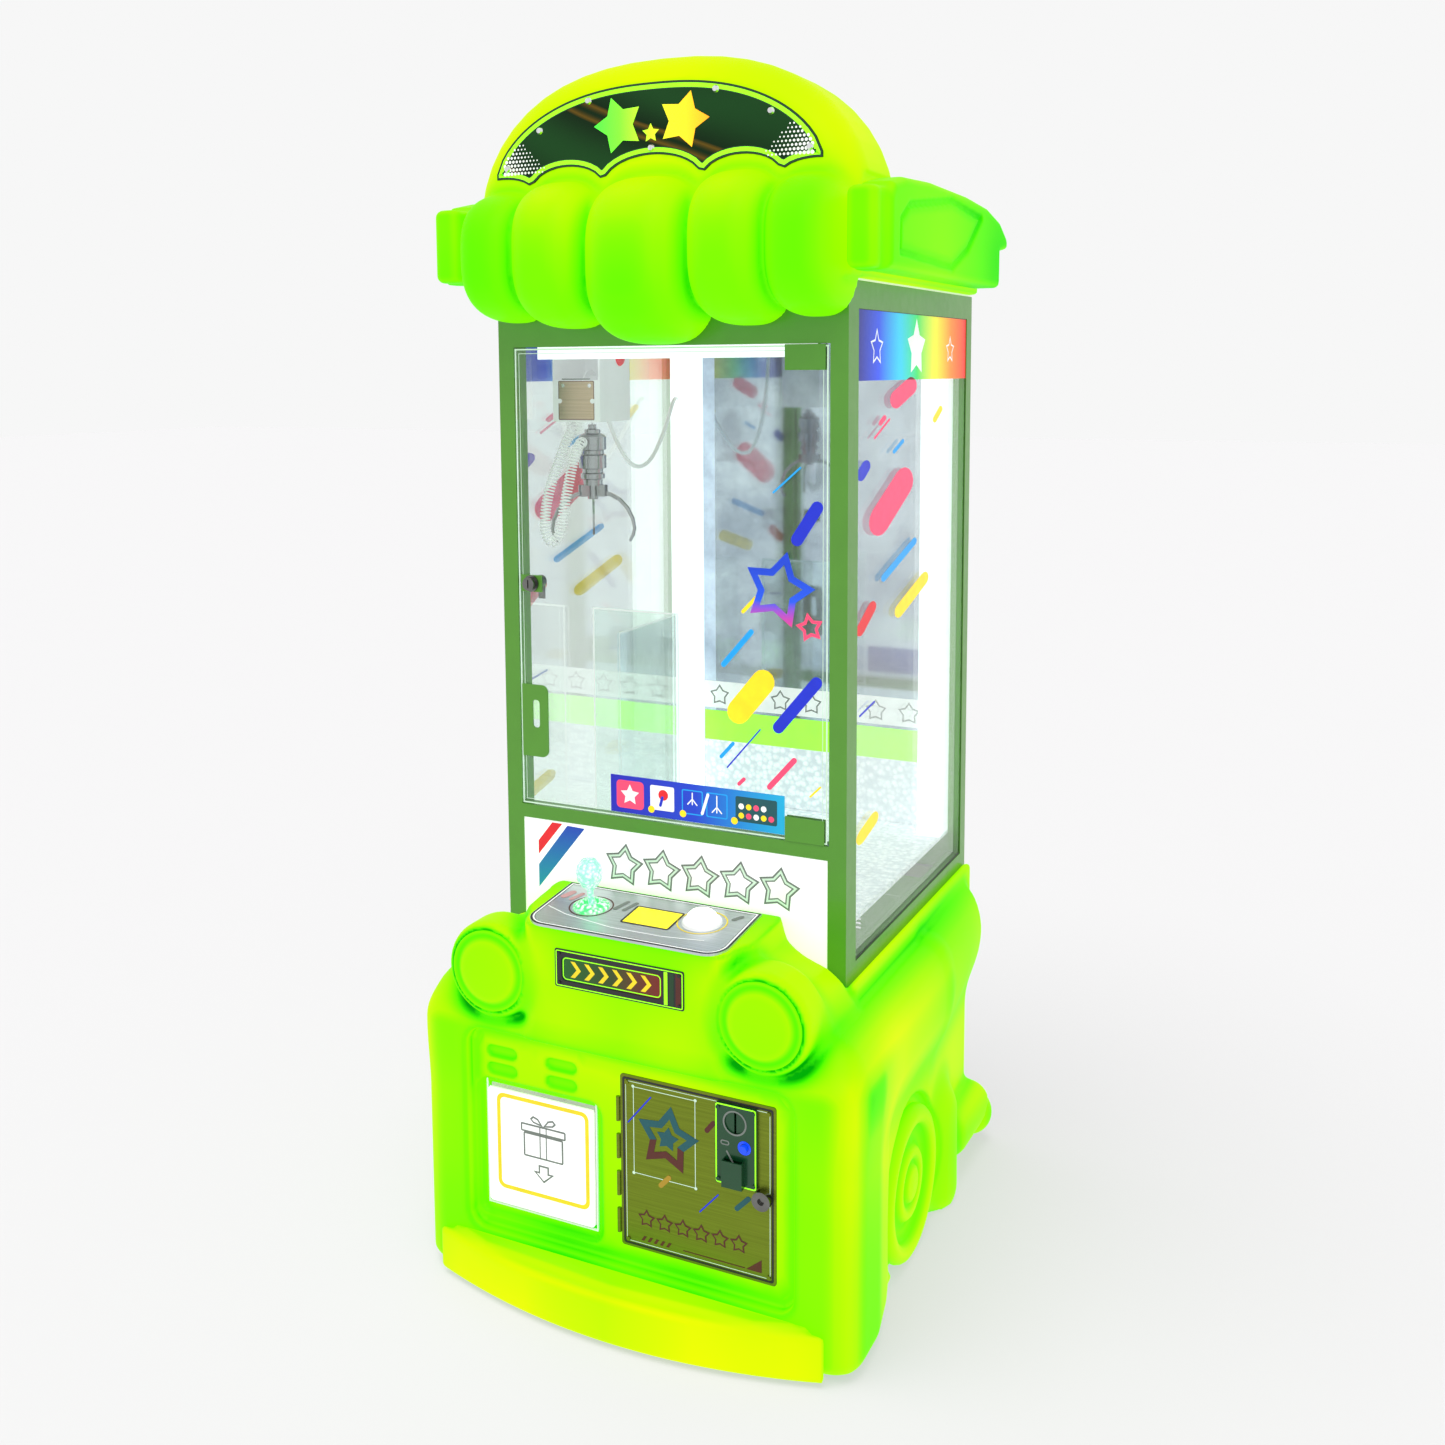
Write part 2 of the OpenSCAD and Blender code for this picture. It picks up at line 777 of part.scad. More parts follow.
module coin_door() {
  y = recess_y;
  color(steel_green) datum() {
    face(y - 3, 2.6) difference() {
      round_rect(coin_x0 + 4, coin_x0 + coin_w, coin_z0, coin_z0 + coin_h, 5);
      translate([163, 283]) square([56, 106]);
      translate([lock_x, lock_z]) circle(12.1);
    }
    box(coin_x0 + 16, coin_x0 + 18, y - 0.4, y + 14, coin_z0 + 16, coin_z0 + coin_h - 16);
    for (z = [coin_z0 + 20 : 62 : coin_z0 + coin_h - 60]) {
      translate([coin_x0, y - 3.6, z]) cylinder(r = 3.2, h = 40);
      box(coin_x0, coin_x0 + 5, y - 3, y - 0.5, z, z + 40);
    }
    for (x = [coin_x0 + 16, coin_x0 + coin_w - 12]) {
      for (z = [coin_z0 + 12, coin_z0 + coin_h - 12]) {
        rod_y(x, y - 5, y - 3, z, 3.4);
      }
    }
  }
}

module coin_acceptor() {
  y = recess_y - 3;
  color(dark) datum() {
    difference() {
      face(y - 5, 5) round_rect(157, 226, 271, 400, 4);
      rod_y(190, y - 9, y - 3, 372, 17);
      box(188.2, 191.8, y - 9, y + 60, 352, 388);
      rod_y(206, y - 12, y + 2, 336, 6.1);
      box(174, 204, y - 6, y - 1.5, 282, 312);
    }
    difference() {
      box(164, 218, y, y + 58, 284, 388);
      box(186, 194, y - 2, y + 50, 344, 400);
      rod_y(206, y - 2, y + 20, 336, 7);
      box(175, 203, y - 2, y + 26, 288, 311);
    }
    // coin return cup lips
    difference() {
      box(172, 206, y - 16, y - 5, 272, 314);
      box(174, 204, y - 14, y, 280, 320);
    }
    for (x = [162, 221]) {
      for (z = [278, 393]) {
        rod_y(x, y - 7, y - 5, z, 3.2);
      }
    }
  }
}

module coin_return_lever() {
  color([0.15, 0.3, 0.8]) datum() {
    rod_y(206, recess_y - 15, recess_y - 5, 336, 6);
    rod_y(206, recess_y - 5, recess_y + 9, 336, 4.5);
  }
}

module coin_lock_plug() {
  color(steel) datum() difference() {
    union() {
      rod_y(lock_x, recess_y - 14, recess_y - 3, lock_z, 15);
      rod_y(lock_x, recess_y - 3, recess_y + 20, lock_z, 12);
      box(lock_x - 4, lock_x + 4, recess_y + 20, recess_y + 23, lock_z - 30, lock_z + 8);
    }
    rod_y(lock_x, recess_y - 20, recess_y - 9, lock_z, 5.5);
  }
}

module nameplate() {
  color(dark) datum() {
    face(-172, 3) difference() {
      round_rect(-114, 114, 541, 603, 3);
      round_rect(-102, 76, 552, 592, 8);
    }
    face(-170.5, 1.5) round_rect(-102, 76, 552, 592, 8);
    for (x = [-106, 106]) {
      for (z = [548, 596]) {
        rod_y(x, -174, -172, z, 2.6);
      }
    }
  }
}

// ---- control deck ----------------------------------------------------------

stick_x = -96;
stick_y = -72;
button_x = 99;
button_y = -62;

module control_panel() {
  color(steel) datum() deck() translate([0, 0, -4]) linear_extrude(4) difference() {
    union() {
      translate([-175, -122]) square([350, 121]);
      translate([-143, -157]) square([286, 60]);
      for (x = [-140, 140]) {
        translate([x, -122]) circle(35);
      }
    }
    translate([stick_x, stick_y]) circle(13);
    translate([button_x, button_y]) circle(button_r + 3.2);
    translate([-22, -102]) square([79, 55]);
  }
}

module display() {
  color([0.9, 0.85, 0.05]) datum() deck() {
    translate([-22, -102, -9]) cube([79, 55, 9.4]);
    translate([-26, -106, -22]) cube([87, 63, 13]);
  }
}

module button_bezel() {
  color(white) datum() deck() translate([button_x, button_y, 0]) {
    rotate_extrude() polygon([[button_r + 0.4, -30], [button_r + 3, -30], [button_r + 3, 0],
      [button_r + 7.5, 0], [button_r + 6, 4], [button_r + 1.5, 5], [button_r + 0.4, 4]]);
    translate([0, 0, -34]) cylinder(r = button_r + 3, h = 4);
  }
}

module button_cap() {
  color(white) datum() deck() translate([button_x, button_y, 0]) rotate_extrude()
    polygon([[0, -16], [button_r, -16], [button_r, 7], [button_r - 2, 13], [button_r - 7, 18],
      [button_r - 14, 21], [0, 22]]);
}

module joystick_base() {
  color([0.2, 0.8, 0.3]) datum() deck() translate([stick_x, stick_y, 0]) {
    rotate_extrude() polygon([[12.3, -8], [12.9, -8], [12.9, 0], [30, 0], [29, 3], [21, 7], [16.8, 9.5],
      [15.4, 9.5], [12.3, 1]]);
    difference() {
      translate([-30, -30, -50]) cube([60, 60, 45.5]);
      translate([-26, -26, -46]) cube([52, 52, 60]);
    }
    for (s = [-1, 1]) {
      translate([s * 19.5 - 7.5, -5, -33]) cube([15, 10, 16]);
    }
    rotate_extrude() polygon([[12.8, -8], [28, -8], [28, -4.5], [12.8, -4.5]]);
  }
}

module joystick_gimbal() {
  color(steel) datum() deck() translate([stick_x, stick_y, -25]) difference() {
    union() {
      rod_x(-11.9, 11.9, 0, 0, 4);
      rod_y(0, -16, 16, 0, 4);
    }
    rod_y(0, -20, 20, 0, 1.5);
  }
}

module joystick_stick() {
  color([0.7, 0.95, 0.8, 0.6]) datum() deck() translate([stick_x, stick_y, -25]) {
    rotate_extrude() polygon([[0, 5.6], [5, 5.6], [5, 52], [8, 56], [8, 58], [14, 62], [20, 72],
      [21.5, 84], [19, 96], [12, 105], [0, 108]]);
    for (s = [-1, 1]) {
      difference() {
        translate([-7, s * 9 - 2, -7]) cube([14, 4, 15]);
        rod_y(0, -20, 20, 0, 4.06);
      }
      translate([-4, s > 0 ? 0 : -11, 5.6]) cube([8, 11, 3]);
    }
  }
}

// ---- crane -----------------------------------------------------------------

module claw_origin() {
  translate([claw_x, claw_y, 0]) children();
}

module crane_rails() {
  color(steel) datum() {
    for (s = [-1, 1]) {
      rod_y(s * rail_x, frame_t, back_y - frame_t, rail_z, rail_r);
      for (y = [frame_t, back_y - frame_t - 12]) {
        box(s > 0 ? rail_x : -cx + 25, s > 0 ? cx - 25 : -rail_x, y, y + 12, rail_z - 10, rail_z + 10);
      }
    }
  }
}

module bridge() {
  color(steel) datum() translate([0, claw_y, 0]) {
    for (s = [-1, 1]) {
      difference() {
        box(s * rail_x - 13, s * rail_x + 13, -60, 60, beam_z - 14, rail_z + 18);
        rod_y(s * rail_x, -70, 70, rail_z, rail_r + run_fit);
      }
    }
    for (y = [-beam_dy, beam_dy]) {
      rod_x(-rail_x + 10, rail_x - 10, y, beam_z, beam_r);
    }
  }
}

module trolley() {
  color([0.72, 0.62, 0.48]) datum() claw_origin() {
    difference() {
      box(-46, 46, -52, 52, beam_z - 13, beam_z + 13);
      for (y = [-beam_dy, beam_dy]) {
        rod_x(-60, 60, y, beam_z, beam_r + run_fit);
      }
      box(-34, 34, -20, 20, beam_z - 20, beam_z + 20);
    }
    for (s = [-1, 1]) {
      difference() {
        box(s * 44.5 - 1.5, s * 44.5 + 1.5, -52, 52, 1421, beam_z - 13);
        rod_x(-60, 60, drum_r, 1482, 3.05);
      }
    }
    box(-44, 44, -52, -50, 1421, 1491);
    box(-44, 44, 50, 52, 1421, 1560);
    difference() {
      box(-44, 44, -51, 51, 1421, 1423);
      translate([0, 0, 1415]) cylinder(r = 7, h = 20);
    }
    // hoist and travel motors
    rod_x(14, 44, drum_r, 1530, 15);
    box(14, 44, drum_r + 10, 51, 1522, 1538);
    for (x = [-32, 32]) {
      rod_y(x, -54, -52, 1456, 4);
    }
  }
}

module hoist_drum() {
  color(white) datum() claw_origin() {
    rod_x(-12, 12, drum_r, 1482, drum_r - 1.3);
    for (s = [-1, 1]) {
      rod_x(s * 13.5 - 1.5, s * 13.5 + 1.5, drum_r, 1482, drum_r + 8);
    }
    rod_x(-46, 46, drum_r, 1482, 3);
  }
}

module hoist_string() {
  color(white) datum() claw_origin() translate([0, 0, claw_top]) cylinder(r = 1.2, h = 1482 - claw_top, $fn = 12);
}

// The coil's outer shape, hanging in a loop from the trolley to the claw body.
coil_points = [[-22, -34, 1418.9], [-22, -34, 1405], [-28, -54, 1370], [-38, -84, 1300],
  [-40, -94, 1246], [-28, -95, 1220], [-12, -92, 1236], [-5, -84, 1290], [-1, -64, 1352],
  [0, -42, 1383], [0, -26.4, 1383]];
module coil_cord() {
  color(white) datum() claw_origin() tube(smooth_path(coil_points, 3), 7, 10);
}

// The flat-laid supply cable from the light post's top to the bridge's left truck.
festoon_points = [[-262, 572.2, 1450], [-262, 556, 1444], [-256, 500, 1384], [-250, 430, 1334],
  [-248, 360, 1330], [-250, 300, 1380], [-256, 250, 1470], [-261, 228, 1540], [-262, 212, 1573],
  [-262, 190.5, 1578]];
module festoon_cable() {
  color(white) datum() translate([-7, 0, 0]) tube(smooth_path(festoon_points, 3), 4, 8);
}

module claw_body() {
  color(steel) datum() claw_origin() {
    difference() {
      union() {
        translate([0, 0, 1300]) rotate_extrude($fn = 60) polygon([[0, 10], [17, 10], [17, 20], [21, 22],
          [21, 30], [18, 32], [18, 38], [24, 40], [24, 62], [20, 64], [20, 70], [24, 72], [24, 94],
          [21, 97], [14, 100], [14, 106], [7, 108], [7, 115], [0, 115]]);
        for (a = [0, 120, 240]) {
          rotate(a) {
            for (s = [-1, 1]) {
              translate([10, s * 3.9 - 1.5, prong_z - 7]) cube([16, 3, 20]);
            }
          }
        }
        translate([0, 0, 1286]) cylinder(r = 9, h = 25);
      }
    }
    for (a = [0, 120, 240]) {
      rotate(a) rod_y(19, -5.4, 5.4, prong_z, 2);
    }
  }
}

bow = [[19, 1298], [34, 1295], [52, 1287], [68, 1272], [78, 1254], [81, 1238], [78, 1226], [72, 1216]];
function bow_n(i) = let (d = unit(bow[min(i + 1, 7)] - bow[max(i - 1, 0)])) [-d[1], d[0]];
module prong(a) {
  color(steel) datum() claw_origin() rotate(a) difference() {
    union() {
      translate([0, 2, 0]) rotate([90, 0, 0]) linear_extrude(4)
        polygon(concat([for (i = [0 : 7]) bow[i] + bow_n(i) * (3.4 - i * 0.2)],
          [for (i = [7 : -1 : 0]) bow[i] - bow_n(i) * (3.4 - i * 0.2)]));
      rod_y(19, -2, 2, prong_z, 5);
    }
    rod_y(19, -3, 3, prong_z, 2.05);
  }
}

module claw_prong_1() {
  prong(0);
}

module claw_prong_2() {
  prong(120);
}

module claw_prong_3() {
  prong(240);
}

// ---- rear ------------------------------------------------------------------

module rear_skirt() {
  color(steel_green) datum() difference() {
    box(-299.5, 299.5, back_y - 7.8, back_y - 5.8, 34.5, ring_z - 0.5);
    box(-181, 181, back_y - 20, back_y + 5, 139, 461);
    box(210, 258, back_y - 20, back_y + 5, 60 + 80, 88 + 80);
    for (i = [0 : 5]) {
      box(-280, -205, back_y - 20, back_y + 5, 200 + 16 * i, 206 + 16 * i);
    }
  }
}

module rear_door() {
  color(steel_green) datum() {
    face(back_y - 7.8, 2) difference() {
      translate([-180, 140]) square([360, 320]);
      translate([160, 300]) circle(11.1);
      for (i = [0 : 7]) {
        translate([-100, 380 + 9 * i]) square([200, 4]);
      }
    }
    for (z = [180, 380]) {
      translate([-181, back_y - 3.2, z]) cylinder(r = 2.5, h = 50);
      box(-181, -170, back_y - 5.8, back_y - 4, z, z + 50);
    }
  }
}

module rear_lock_plug() {
  color(steel) datum() difference() {
    union() {
      rod_y(160, back_y - 22, back_y - 4, 300, 11);
      rod_y(160, back_y - 5.8, back_y - 2, 300, 14);
      box(156, 190, back_y - 25, back_y - 22, 294, 306);
    }
    box(158.8, 161.2, back_y - 4, back_y, 293, 307);
  }
}

module power_inlet() {
  color([0.05, 0.05, 0.05]) datum() difference() {
    union() {
      box(210.3, 257.7, back_y - 30, back_y - 4, 140.3, 167.7);
      box(206, 262, back_y - 5.8, back_y - 4, 136, 172);
    }
    box(221, 247, back_y - 20, back_y, 146, 162);
  }
}

// ---- drawing ---------------------------------------------------------------

base_shell();
front_bumper();
rear_bumper();
wheel_covers();
headlights();
base_frame();
levelling_feet();
front_frame();
side_frame_left();
side_frame_right();
rear_panel();
side_glass_left();
side_glass_right();
rear_mirror();
light_posts();
led_bar();
playfield();
prize_chute();
chute_guard();
roof_plate();
canopy_shell();
thumb_left();
thumb_right();
header_panel();
header_screws();
crane_rails();
lower_panel();
control_panel();
display();
button_bezel();
nameplate();
joystick_base();
cash_box();
power_supply();
rear_skirt();
power_inlet();
door_glass();
door_clamps();
door_plates();
door_lock_plug();
prize_flap();
coin_door();
coin_acceptor();
coin_lock_plug();
coin_return_lever();
joystick_gimbal();
joystick_stick();
button_cap();
bridge();
trolley();
hoist_drum();
hoist_string();
coil_cord();
festoon_cable();
claw_body();
claw_prong_1();
claw_prong_2();
claw_prong_3();
rear_door();
rear_lock_plug();
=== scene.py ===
"""Claw crane machine with a glowing moulded base and canopy, dressed for rendering.

Sizes are in millimetres in the cabinet's own place: x from the centre line, y from the
cabinet's front face, z from the floor. The function row() turns them into the frame's metres.
"""

import logging
import math
from collections.abc import Iterable, Sequence
from dataclasses import dataclass, field
from enum import Enum
from typing import Any

import bpy
import numpy as np
from mathutils import Matrix, Vector


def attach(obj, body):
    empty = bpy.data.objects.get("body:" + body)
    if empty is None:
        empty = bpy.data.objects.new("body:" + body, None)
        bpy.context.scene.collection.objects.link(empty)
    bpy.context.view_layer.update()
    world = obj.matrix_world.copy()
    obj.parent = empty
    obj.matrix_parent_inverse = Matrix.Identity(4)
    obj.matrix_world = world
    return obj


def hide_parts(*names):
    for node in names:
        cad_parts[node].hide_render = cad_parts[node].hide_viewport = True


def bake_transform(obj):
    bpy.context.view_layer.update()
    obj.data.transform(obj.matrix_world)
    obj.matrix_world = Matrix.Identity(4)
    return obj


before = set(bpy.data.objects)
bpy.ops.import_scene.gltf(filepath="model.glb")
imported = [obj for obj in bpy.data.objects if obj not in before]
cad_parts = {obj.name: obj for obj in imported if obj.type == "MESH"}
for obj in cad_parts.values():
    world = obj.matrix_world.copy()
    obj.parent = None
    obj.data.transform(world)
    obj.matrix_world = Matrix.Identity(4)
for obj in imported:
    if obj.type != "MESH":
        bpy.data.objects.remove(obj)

LOG = logging.getLogger("claw_crane")
MM = 0.001
FRONT_Y = -215.0  # the cabinet's front face in the row frame

Point2 = tuple[float, float]
Point3 = tuple[float, float, float]
Colour = tuple[float, float, float]


def row(points: np.ndarray | Sequence[Sequence[float]]) -> np.ndarray:
    """Turns cabinet millimetres into row frame metres.

    Args:
        points: one point or many, as x, y and z.

    Returns:
        The same points in metres.
    """
    return (np.asarray(points, float) + (0.0, FRONT_Y, 0.0)) * MM


def screen(red: int, green: int, blue: int) -> Colour:
    """Turns a display colour of 0 to 255 into linear light."""
    return tuple((c / 255) ** 2.2 for c in (red, green, blue))


# ---- shader building ---------------------------------------------------------


class Signal:
    """A node's output socket on which arithmetic adds Math nodes."""

    def __init__(self, shader: "Shader", socket: bpy.types.NodeSocket) -> None:
        """Keeps the socket and the shader that it is in."""
        self.shader = shader
        self.socket = socket

    def _maths(self, operation: str, left: Any, right: Any) -> "Signal":
        """Adds one Math node."""
        return self.shader.add("ShaderNodeMath", {"operation": operation}, {0: left, 1: right})

    def __add__(self, other: Any) -> "Signal":
        """This plus other."""
        return self._maths("ADD", self, other)

    def __sub__(self, other: Any) -> "Signal":
        """This less other."""
        return self._maths("SUBTRACT", self, other)

    def __rsub__(self, other: Any) -> "Signal":
        """Other less this."""
        return self._maths("SUBTRACT", other, self)

    def __mul__(self, other: Any) -> "Signal":
        """This times other."""
        return self._maths("MULTIPLY", self, other)

    def __gt__(self, other: Any) -> "Signal":
        """One where this is above other, and zero elsewhere."""
        return self._maths("GREATER_THAN", self, other)

    __radd__ = __add__
    __rmul__ = __mul__


class Shader:
    """The node tree of one material."""

    def __init__(self, name: str) -> None:
        """Starts an empty tree.

        Args:
            name: the material's name.
        """
        self.material = bpy.data.materials.new(name)
        self.material.use_nodes = True
        self.tree = self.material.node_tree
        self.tree.nodes.clear()
        self.outlet = self.tree.nodes.new("ShaderNodeOutputMaterial")

    def add(
        self,
        kind: str,
        settings: dict[str, Any] | None = None,
        values: dict[int | str, Any] | None = None,
        outlet: int | str = 0,
    ) -> Signal:
        """Adds a node.

        Args:
            kind: the node's type.
            settings: its properties, and "stops" for a ramp's places and colours.
            values: numbers, colours or signals for its sockets.
            outlet: the output that is wanted.

        Returns:
            The chosen output.
        """
        node = self.tree.nodes.new(kind)
        for key, value in (settings or {}).items():
            if key == "stops":
                self._ramp(node, value)
            else:
                setattr(node, key, value)
        for key, value in (values or {}).items():
            if isinstance(value, Signal):
                self.tree.links.new(value.socket, node.inputs[key])
            elif isinstance(value, tuple) and len(value) == 3 and node.inputs[key].type == "RGBA":
                node.inputs[key].default_value = (*value, 1.0)
            else:
                node.inputs[key].default_value = value
        return Signal(self, node.outputs[outlet])

    @staticmethod
    def _ramp(node: bpy.types.Node, stops: Sequence[tuple[float, Colour]]) -> None:
        """Sets a colour ramp's stops.

        Args:
            node: the ramp node.
            stops: places and colours.
        """
        elements = node.color_ramp.elements
        while len(elements) < len(stops):
            elements.new(0.5)
        for element, (place, colour) in zip(elements, stops):
            element.position = place
            element.color = (*colour, 1.0)

    def ramp(self, value: Signal, stops: Sequence[tuple[float, Colour]]) -> Signal:
        """Colours a value by a ramp's stops."""
        return self.add("ShaderNodeValToRGB", {"stops": stops}, {0: value})

    def place(self) -> Signal:
        """Where the surface is, in its own coordinates in metres."""
        return self.add("ShaderNodeTexCoord", outlet="Object")

    def axis(self, letter: str) -> Signal:
        """One coordinate of the place."""
        return self.add("ShaderNodeSeparateXYZ", None, {0: self.place()}, letter)

    def grain(self, scale: float, detail: float = 2.0, rough: float = 0.5) -> Signal:
        """Soft noise from 0 to 1.

        Args:
            scale: how many patches a metre holds.
            detail: octaves.
            rough: how strong the finer octaves are.

        Returns:
            The noise.
        """
        values = {"Vector": self.place(), "Scale": scale, "Detail": detail, "Roughness": rough}
        return self.add("ShaderNodeTexNoise", None, values)

    def streaks(self, scale: Point3) -> Signal:
        """Noise drawn out along the axes where scale is low, as brushed metal has.

        Args:
            scale: how fine the noise is along each axis.

        Returns:
            The noise.
        """
        stretched = self.add(
            "ShaderNodeVectorMath", {"operation": "MULTIPLY"}, {0: self.place(), 1: scale}
        )
        return self.add("ShaderNodeTexNoise", None, {"Vector": stretched, "Scale": 1.0})

    def bump(self, height: Signal, strength: float, depth: float) -> Signal:
        """A bumped normal.

        Args:
            height: from 0 to 1.
            strength: the bump's share.
            depth: the height of 1, in metres.

        Returns:
            The normal.
        """
        values = {"Height": height, "Strength": strength, "Distance": depth}
        return self.add("ShaderNodeBump", None, values)

    def surface(self, **sockets: Any) -> Signal:
        """A Principled surface, whose sockets are named with _ for a space."""
        values = {key.replace("_", " "): value for key, value in sockets.items()}
        return self.add("ShaderNodeBsdfPrincipled", None, values)

    def done(self, shaded: Signal) -> bpy.types.Material:
        """Links the shaded surface to the output."""
        self.tree.links.new(shaded.socket, self.outlet.inputs["Surface"])
        return self.material


# ---- finishes ----------------------------------------------------------------


@dataclass(frozen=True)
class GlowingPlastic:
    """Moulded plastic lit from inside, with painted shade, deep green in its creases, and painted light,
    yellow at its brighter spots.
    """

    name: str = "lime_moulding"
    glow: float = 0.9
    rough: float = 0.5
    patch: float = 0.2

    def make(self) -> bpy.types.Material:
        """Makes the material.

        Returns:
            The material.
        """
        s = Shader(self.name)
        # Painted light and shade: the stored glow holds the inner light, painted crease shade and painted
        # light and shade spots, and it colours both the emission and the base colour. The strong emission
        # keeps the shell bright and flat under any light, partly its inner light and partly painted light.
        lit = s.add("ShaderNodeAttribute", {"attribute_name": "glow"}, outlet="Fac")
        lit = lit + (s.grain(3.4, 1.0) - 0.5) * self.patch
        glow_with_painted_shade = s.ramp(lit, (
            (0.0, (0.0, 0.3, 0.002)), (0.2, (0.02, 0.68, 0.0)), (0.36, (0.12, 0.8, 0.0)),
            (0.5, (0.21, 0.84, 0.0)), (0.6, (0.3, 0.86, 0.0)), (0.77, (0.5, 0.88, 0.0)),
            (0.93, (0.74, 0.9, 0.0)), (1.0, (0.86, 0.92, 0.0)),
        ))
        body = s.ramp(lit, (
            (0.0, (0.0, 0.16, 0.0)), (0.4, (0.03, 0.3, 0.0)), (1.0, (0.09, 0.34, 0.0)),
        ))
        peel = s.bump(s.grain(420.0, 3.0), 0.12, 0.0006)
        return s.done(s.surface(
            Base_Color=body, Roughness=self.rough, Normal=peel, Emission_Color=glow_with_painted_shade,
            Emission_Strength=self.glow, Specular_IOR_Level=0.025,
        ))


@dataclass(frozen=True)
class Paint:
    """Powder coat or moulded plastic: one colour, mottled and finely textured."""

    name: str
    colour: Colour
    rough: float = 0.45
    metal: float = 0.0
    mottle: float = 0.12
    # Glow is emission: painted light that keeps the part bright; on the lit lower panel it stands partly for
    # the panel's backlight.
    glow: float = 0.0
    coat: float = 0.0

    def make(self) -> bpy.types.Material:
        """Makes the material.

        Returns:
            The material.
        """
        s = Shader(self.name)
        dark = tuple(c * (1 - self.mottle) for c in self.colour)
        light = tuple(min(1.0, c * (1 + self.mottle)) for c in self.colour)
        shade = s.ramp(s.grain(14.0, 4.0, 0.6), ((0.25, dark), (0.75, light)))
        wear = s.grain(60.0, 3.0) * 0.16 + (self.rough - 0.08)
        peel = s.bump(s.grain(900.0, 2.0), 0.1, 0.0003)
        return s.done(s.surface(
            Base_Color=shade, Roughness=wear, Metallic=self.metal, Normal=peel,
            Emission_Color=shade, Emission_Strength=self.glow, Coat_Weight=self.coat,
        ))


@dataclass(frozen=True)
class Metal:
    """Bare metal, brushed along one axis or polished."""

    name: str
    colour: Colour
    rough: float = 0.25
    along: Point3 = (400.0, 400.0, 6.0)

    def make(self) -> bpy.types.Material:
        """Makes the material.

        Returns:
            The material.
        """
        s = Shader(self.name)
        lines = s.streaks(self.along)
        shade = s.ramp(lines, (
            (0.3, tuple(c * 0.78 for c in self.colour)), (0.7, self.colour),
        ))
        rough = lines * 0.14 + self.rough
        return s.done(s.surface(
            Base_Color=shade, Metallic=1.0, Roughness=rough, Normal=s.bump(lines, 0.08, 0.0002),
        ))


def draw_in(obj: bpy.types.Object, axis: int, start: float, top: float, limit: float) -> None:
    """Draws in the outermost few millimetres, so that a piece keeps to the frame's box.

    Args:
        obj: the piece.
        axis: 0, 1 or 2 for x, y or z.
        start: how far out the easing starts, in millimetres.
        top: how far out the piece reaches.
        limit: how far out it may reach.
    """
    share = (limit - start) / (top - start)
    for vertex in obj.data.vertices:
        far = abs(vertex.co[axis]) / MM
        if far > start:
            vertex.co[axis] = math.copysign((start + (far - start) * share) * MM, vertex.co[axis])


@dataclass(frozen=True)
class PaleFloor:
    """The studio's pale floor, which keeps a soft shadow."""

    name: str = "studio_floor"
    shade: float = 0.16
    glow: float = 0.535

    def make(self) -> bpy.types.Material:
        """Makes the material.

        Returns:
            The material.
        """
        s = Shader(self.name)
        shade = s.ramp(s.grain(3.0), (
            (0.0, (self.shade * 0.99,) * 3), (1.0, (self.shade,) * 3),
        ))
        return s.done(s.surface(
            Base_Color=shade, Roughness=1.0, Specular_IOR_Level=0.0,
            Emission_Color=(1.0, 0.99, 1.0, 1.0), Emission_Strength=self.glow,
        ))


@dataclass(frozen=True)
class Mirror:
    """A mirror whose colour carries painted reflections in soft darker and lighter blotches."""

    name: str = "mirror_panel"
    dark_reflection: Colour = (0.24, 0.3, 0.4)
    clear: Colour = (0.66, 0.74, 0.84)

    def make(self) -> bpy.types.Material:
        """Makes the material.

        Returns:
            The material.
        """
        s = Shader(self.name)
        # Painted reflections: soft blotches of darker and lighter blue in the mirror's colour.
        reflection_blotches = s.grain(5.0, 5.0, 0.62)
        shade = s.ramp(reflection_blotches, ((0.32, self.dark_reflection), (0.68, self.clear)))
        return s.done(s.surface(Base_Color=shade, Metallic=1.0, Roughness=reflection_blotches * 0.06 + 0.02))


@dataclass(frozen=True)
class ClearSheet:
    """Clear glass or acrylic: seen through, with a reflection that grows at the edges."""

    name: str
    tint: Colour = (0.97, 1.0, 0.985)
    mirror: float = 0.03

    def make(self) -> bpy.types.Material:
        """Makes the material.

        Returns:
            The material.
        """
        s = Shader(self.name)
        smear = s.grain(9.0, 4.0, 0.7) * 0.02
        edge = s.add("ShaderNodeLayerWeight", None, {"Blend": 0.22}, "Fresnel")
        share = edge * 0.4 + smear + self.mirror
        through = s.add("ShaderNodeBsdfTransparent", None, {"Color": self.tint})
        shine = s.add("ShaderNodeBsdfGlossy", None, {"Color": (1.0, 1.0, 1.0), "Roughness": 0.03})
        return s.done(s.add("ShaderNodeMixShader", None, {0: share, 1: through, 2: shine}))


@dataclass(frozen=True)
class Lamp:
    """A lit white diffuser."""

    name: str
    colour: Colour = (1.0, 1.0, 1.0)
    strength: float = 1.6

    def make(self) -> bpy.types.Material:
        """Makes the material.

        Returns:
            The material.
        """
        s = Shader(self.name)
        spots = s.ramp(s.grain(30.0, 1.0), (
            (0.2, tuple(c * 0.9 for c in self.colour)), (0.8, self.colour),
        ))
        return s.done(s.surface(
            Base_Color=spots, Roughness=0.5, Emission_Color=spots, Emission_Strength=self.strength,
        ))


